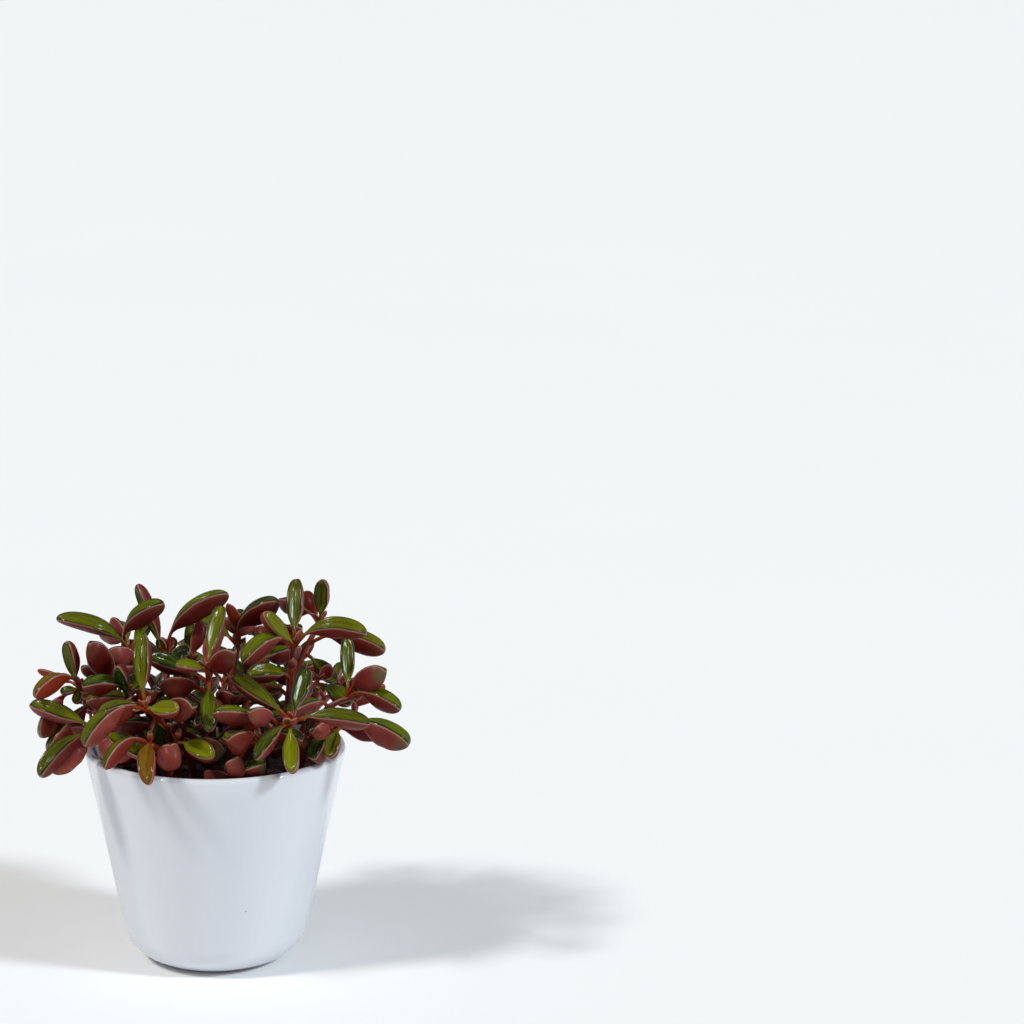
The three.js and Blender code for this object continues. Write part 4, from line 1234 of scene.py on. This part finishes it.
def add_leaf(skin, leaf, settings, draw, sides=SIDES):
    """A fine leaf: round petiole, boat-shaped blade with plump halves beside a groove."""
    thin = min(1.0, 0.35 + 0.65 * leaf.length / FULL_PETIOLE_LENGTH)
    petiole = PETIOLE_RADIUS * thin
    tip_drop = TIP_MEET * min(1.0, leaf.length / TIP_MEET_LENGTH)
    twist = draw.uniform(-settings.twist, settings.twist)
    sway = draw.uniform(-SWAY, SWAY) * leaf.length
    dent_seed = draw.uniform(0, 100)
    angles = np.arange(sides) * 2 * math.pi / sides
    cosine, sine = np.cos(angles), np.sin(angles)
    on_top = sine > 1e-6
    beneath = sine < -1e-6
    shares = list(PETIOLE_STATIONS)
    shares += [PETIOLE_SHARE + (1 - PETIOLE_SHARE) * q for q in BLADE_STATIONS]
    points = [leaf.point(0)[None]]
    place = [[(0, 0, 0)]]
    for share in shares:
        q = max(0.0, (share - PETIOLE_SHARE) / (1 - PETIOLE_SHARE))
        open_share = min(1.0, q / BLENDING)
        neck = petiole * (1 - q) ** 3
        half = max(leaf.width / 2 * blade_half(q), neck, THINNEST)
        keel = leaf.keel() * (blade_deep(q) if q <= DEEPEST_SHARE else
                              tip_drop + (1 - tip_drop) * blade_deep(q))
        deep = max(neck, THINNEST) * (1 - open_share) + open_share * keel
        along, up, side = leaf.axes(share)
        turn = twist * q
        side, up = (
            side * math.cos(turn) + up * math.sin(turn),
            up * math.cos(turn) - side * math.sin(turn),
        )
        centre = leaf.point(share) + side * (sway * 4 * share * (1 - share))
        swell = settings.fullness * half * sine
        hollow = settings.groove * half * (1 - smooth(q, *GROOVE_END))
        groove = hollow * np.maximum(0, 1 - np.abs(cosine) / GROOVE_REACH)
        meet = tip_drop * leaf.keel()
        past = min(1.0, max(0.0, (q - BOW_START) / (1 - BOW_START)))
        bow = meet * (1 - math.sqrt(1 - past * past))
        top = (1 - open_share) * petiole * sine + open_share * (swell - groove) - bow
        belly = -bow - np.abs(sine) ** BELLY_POWER * (deep - bow)
        height = np.where(sine >= 0, top, belly)
        across = half * cosine
        dent = 1 + DENT * np.array([
            noise.noise(Vector((a * 1.3, share * 5, dent_seed))) for a in cosine
        ]) * open_share
        pull = settings.notch * leaf.width * smooth(q, NOTCH_START, 1.0)
        back = pull * np.maximum(0, 1 - np.abs(cosine) / NOTCH_REACH)
        ring = (
            centre
            + np.outer(across * dent, side)
            + np.outer(height * dent, up)
            - np.outer(back, along)
        )
        flat = np.column_stack((across, height))
        steps = np.linalg.norm(np.roll(flat, -1, axis=0) - flat, axis=1)
        reach = np.concatenate(([0], np.cumsum(steps)))[:sides]
        whole, middle = steps.sum(), sides // 2
        left = reach[middle]
        edge = np.where(
            on_top,
            np.minimum(reach, left - reach),
            np.where(beneath, -np.minimum(reach - left, whole - reach), 0),
        )
        points.append(ring)
        place.append(np.column_stack((
            edge, np.full(sides, share), np.full(sides, share * leaf.length)
        )))
    _, up, _ = leaf.axes(1)
    tip = leaf.point(1) - up * (tip_drop * leaf.keel()) - leaf.along * (
        0.6 * settings.notch * leaf.width
    )
    points.append(tip[None])
    place.append([(0.1, 1, leaf.length)])
    yellow, pink, frost, orange = (
        min(1.0, max(0.0, value + draw.uniform(-0.1, 0.1))) for value in LOOKS[leaf.look]
    )
    points = np.concatenate(points)
    faces = tube_faces(len(shares), sides)
    upper = [UPPER_SLOT if side < sides // 2 else UNDER_SLOT for side in range(sides)]
    skin.add(
        points,
        faces,
        slot=[slot for slot in upper for _ in range(len(faces) // sides)],
        leaf_place=np.concatenate(place),
        leaf_look=(yellow, pink, frost),
        leaf_orange=np.full(len(points), orange),
    )


def add_stem(skin, stem, leaves, settings):
    """A round stem, a little thicker where leaves join it."""
    rings, sides = STEM_RINGS, STEM_SIDES
    total = sum(
        np.linalg.norm(stem_point(stem, (i + 1) / rings) - stem_point(stem, i / rings))
        for i in range(rings)
    )
    joints = sorted({round(leaf.down) for leaf in leaves})
    foot = stem_point(stem, 0)
    foot[2] = STEM_FOOT
    points = [foot[None]]
    place = [[(0, 0, 0)]]
    angles = np.arange(sides) * 2 * math.pi / sides
    risen = 0.0
    previous = stem_point(stem, 0)
    for i in range(-1, rings + 1):
        share = max(0, i) / rings
        centre = foot if i < 0 else stem_point(stem, share)
        ahead = stem_point(stem, min(1, share + 0.02))
        behind = stem_point(stem, max(0, share - 0.02))
        along = (ahead - behind) / np.linalg.norm(ahead - behind)
        if i < 0:
            along = np.array([0.0, 0.0, 1.0])
        elif i > 0:
            risen += np.linalg.norm(centre - previous)
            previous = centre
        across = np.cross((0.0, 1.0, 0.0), along)
        across /= np.linalg.norm(across)
        other = np.cross(along, across)
        radius = STEM_RADIUS_LOW + (STEM_RADIUS_HIGH - STEM_RADIUS_LOW) * share
        down = total - risen
        bulge = max(
            (math.exp(-(((down - joint) / JOINT_REACH) ** 2)) for joint in joints), default=0
        )
        radius *= settings.slimness + settings.swelling * bulge
        if i == rings:
            radius *= 0.75
        ring = centre + np.outer(radius * np.cos(angles), across)
        ring = ring + np.outer(radius * np.sin(angles), other)
        points.append(ring)
        around = np.abs(angles - math.pi) * radius
        place.append(np.column_stack((around, np.full(sides, share), np.full(sides, risen))))
    points.append(stem_point(stem, 1)[None] + along * 0.9)
    place.append([(0, 1, total)])
    points = np.concatenate(points)
    skin.add(
        points,
        tube_faces(rings + 2, sides),
        slot=STEM_SLOT,
        leaf_place=np.concatenate(place),
        leaf_look=(0, 0, 0),
        leaf_orange=np.zeros(len(points)),
    )


def build_leafy_stem(stem, leaves, leaf_settings, stem_settings, materials, number):
    draw = random.Random(SHAPE_SEED + number)
    skin = Skin()
    add_stem(skin, stem, leaves, stem_settings)
    for leaf in leaves:
        add_leaf(skin, leaf, leaf_settings, draw)
    compass = draw.uniform(0, 180)
    for size, rise in BUD_PAIRS:
        for opposite in (0, 180):
            bud = Leaf(
                stem, 0, compass + opposite, rise + draw.uniform(-8, 8), size, BUD_WIDTH * size,
                draw.uniform(-10, 10), 0.12, "orange",
            )
            add_leaf(skin, bud, leaf_settings, draw, sides=BUD_SIDES)
        compass += 90
    return skin.to_object(stem["name"] + "_stem_and_leaves", materials)


# Stage

def camera_axes(settings):
    """Where the camera stands, and its right, up and view directions."""
    level = math.cos(settings.elevation)
    rise = math.sin(settings.elevation)
    place = Vector((0, -level, rise)) * settings.distance + Vector((0, 0, settings.aim_height))
    view = Vector((0, level, -rise))
    right = Vector((1, 0, 0))
    up = right.cross(view)
    pan = Matrix.Rotation(-settings.pan, 3, up)
    right, view = pan @ right, pan @ view
    tilt = Matrix.Rotation(settings.tilt, 3, right)
    view, up = tilt @ view, tilt @ up
    roll = Matrix.Rotation(settings.roll, 3, view)
    return place, roll @ right, roll @ up, view


def add_camera(settings):
    data = bpy.data.cameras.new("studio_camera")
    data.sensor_width = 36
    data.lens = settings.lens
    data.clip_end = 100
    camera = bpy.data.objects.new("studio_camera", data)
    place, right, up, view = camera_axes(settings)
    turn = Matrix((right, up, -view)).transposed().to_4x4()
    camera.matrix_world = Matrix.Translation(place) @ turn
    bpy.context.scene.collection.objects.link(camera)
    bpy.context.scene.camera = camera


def add_light(name, direction, strength, settings, tint):
    """A wide, even light that shines from a direction, such as a large softbox."""
    data = bpy.data.lights.new(name, "SUN")
    data.energy = strength
    data.angle = settings.softness
    data.color = tint
    light = bpy.data.objects.new(name, data)
    light.location = Vector(direction) * settings.distance
    light.rotation_mode = "QUATERNION"
    light.rotation_quaternion = (-Vector(direction)).to_track_quat("-Z", "Y")
    bpy.context.scene.collection.objects.link(light)


def add_sky(settings):
    world = bpy.data.worlds.new("studio_sky")
    world.use_nodes = True
    background = world.node_tree.nodes["Background"].inputs
    background["Color"].default_value = (0.96, 0.98, 1.0, 1.0)
    background["Strength"].default_value = settings.sky
    bpy.context.scene.world = world


def add_floor(settings):
    """A wide level floor."""
    skin = Skin()
    radius, sides = settings.floor_radius / MM, 64
    angles = np.arange(sides) * 2 * math.pi / sides
    points = np.column_stack((radius * np.cos(angles), radius * np.sin(angles), np.zeros(sides)))
    skin.add(points, [tuple(range(sides))])
    floor = skin.to_object("studio_floor", [floor_material(settings)])


# Operators and panel

def attach(piece, slot, *nodes):
    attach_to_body(piece, "root")
    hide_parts(*nodes)


class PLANT_OT_planter(bpy.types.Operator):
    """Build the glazed planter"""

    bl_idname = "plant.build_planter"
    bl_label = "Build Planter"

    def execute(self, context):
        attach(build_planter(context.scene.plant_planter), "planter_glaze", "planter")
        return {"FINISHED"}


class PLANT_OT_soil(bpy.types.Operator):
    """Build the soil with its crumbs and fibres"""

    bl_idname = "plant.build_soil"
    bl_label = "Build Soil"

    def execute(self, context):
        scene = context.scene
        attach(build_soil(scene.plant_soil, scene.plant_planter), "potting_soil", "soil")
        return {"FINISHED"}


class PLANT_OT_leafy_stems(bpy.types.Operator):
    """Grow all stems and leaves, one piece for each stem"""

    bl_idname = "plant.build_leafy_stems"
    bl_label = "Build Leafy Stems"

    def execute(self, context):
        scene = context.scene
        materials = [
            leaf_material("leaf_upper_face", scene.plant_leaf, 0.17, 0.09, 0.06),
            leaf_material("leaf_underside", scene.plant_leaf, 0.09, 0.03, 0.2),
            stem_material(scene.plant_stem),
        ]
        grown = grow_leaves(scene.plant_planter)
        for number, (stem, leaves) in enumerate(zip(STEMS, grown)):
            piece = build_leafy_stem(
                stem, leaves, scene.plant_leaf, scene.plant_stem, materials, number
            )
            attach(piece, "plant_tissue", "leafy_stem_" + stem["name"])
        return {"FINISHED"}


class PLANT_OT_stage(bpy.types.Operator):
    """Set up the floor, the lights and the camera"""

    bl_idname = "plant.build_stage"
    bl_label = "Build Stage"

    def execute(self, context):
        scene = context.scene
        settings = scene.plant_stage
        scene.view_settings.view_transform = "Standard"
        add_floor(settings)
        add_sky(settings)
        add_light("key_light", (0.9, -0.48, 0.75), settings.key, settings, (0.86, 0.94, 1.0))
        add_light("fill_light", (-0.8, -0.36, 1.0), settings.fill, settings, (1.0, 0.98, 0.95))
        add_camera(settings)
        return {"FINISHED"}


class PLANT_PT_panel(bpy.types.Panel):
    """Lists what can be built"""

    bl_idname = "PLANT_PT_panel"
    bl_label = "Potted Plant"
    bl_space_type = "VIEW_3D"
    bl_region_type = "UI"
    bl_category = "Potted Plant"

    def draw(self, context):
        for operator in OPERATORS:
            self.layout.operator(operator.bl_idname)
        for title in SETTINGS:
            settings = getattr(context.scene, title)
            box = self.layout.box()
            box.label(text=title.replace("plant_", "").capitalize())
            for name in settings.__annotations__:
                box.prop(settings, name)


OPERATORS = (PLANT_OT_planter, PLANT_OT_soil, PLANT_OT_leafy_stems, PLANT_OT_stage)
SETTINGS = {
    "plant_planter": PlanterSettings,
    "plant_soil": SoilSettings,
    "plant_leaf": LeafSettings,
    "plant_stem": StemSettings,
    "plant_stage": StageSettings,
}


def register():
    for group in SETTINGS.values():
        bpy.utils.register_class(group)
    for title, group in SETTINGS.items():
        setattr(bpy.types.Scene, title, PointerProperty(type=group))
    for operator in OPERATORS:
        bpy.utils.register_class(operator)
    bpy.utils.register_class(PLANT_PT_panel)


def unregister():
    bpy.utils.unregister_class(PLANT_PT_panel)
    for operator in reversed(OPERATORS):
        bpy.utils.unregister_class(operator)
    for title, group in SETTINGS.items():
        delattr(bpy.types.Scene, title)
        bpy.utils.unregister_class(group)


def main():
    register()
    bpy.ops.plant.build_planter()
    bpy.ops.plant.build_soil()
    bpy.ops.plant.build_leafy_stems()
    bpy.ops.plant.build_stage()


if __name__ == "__main__":
    main()
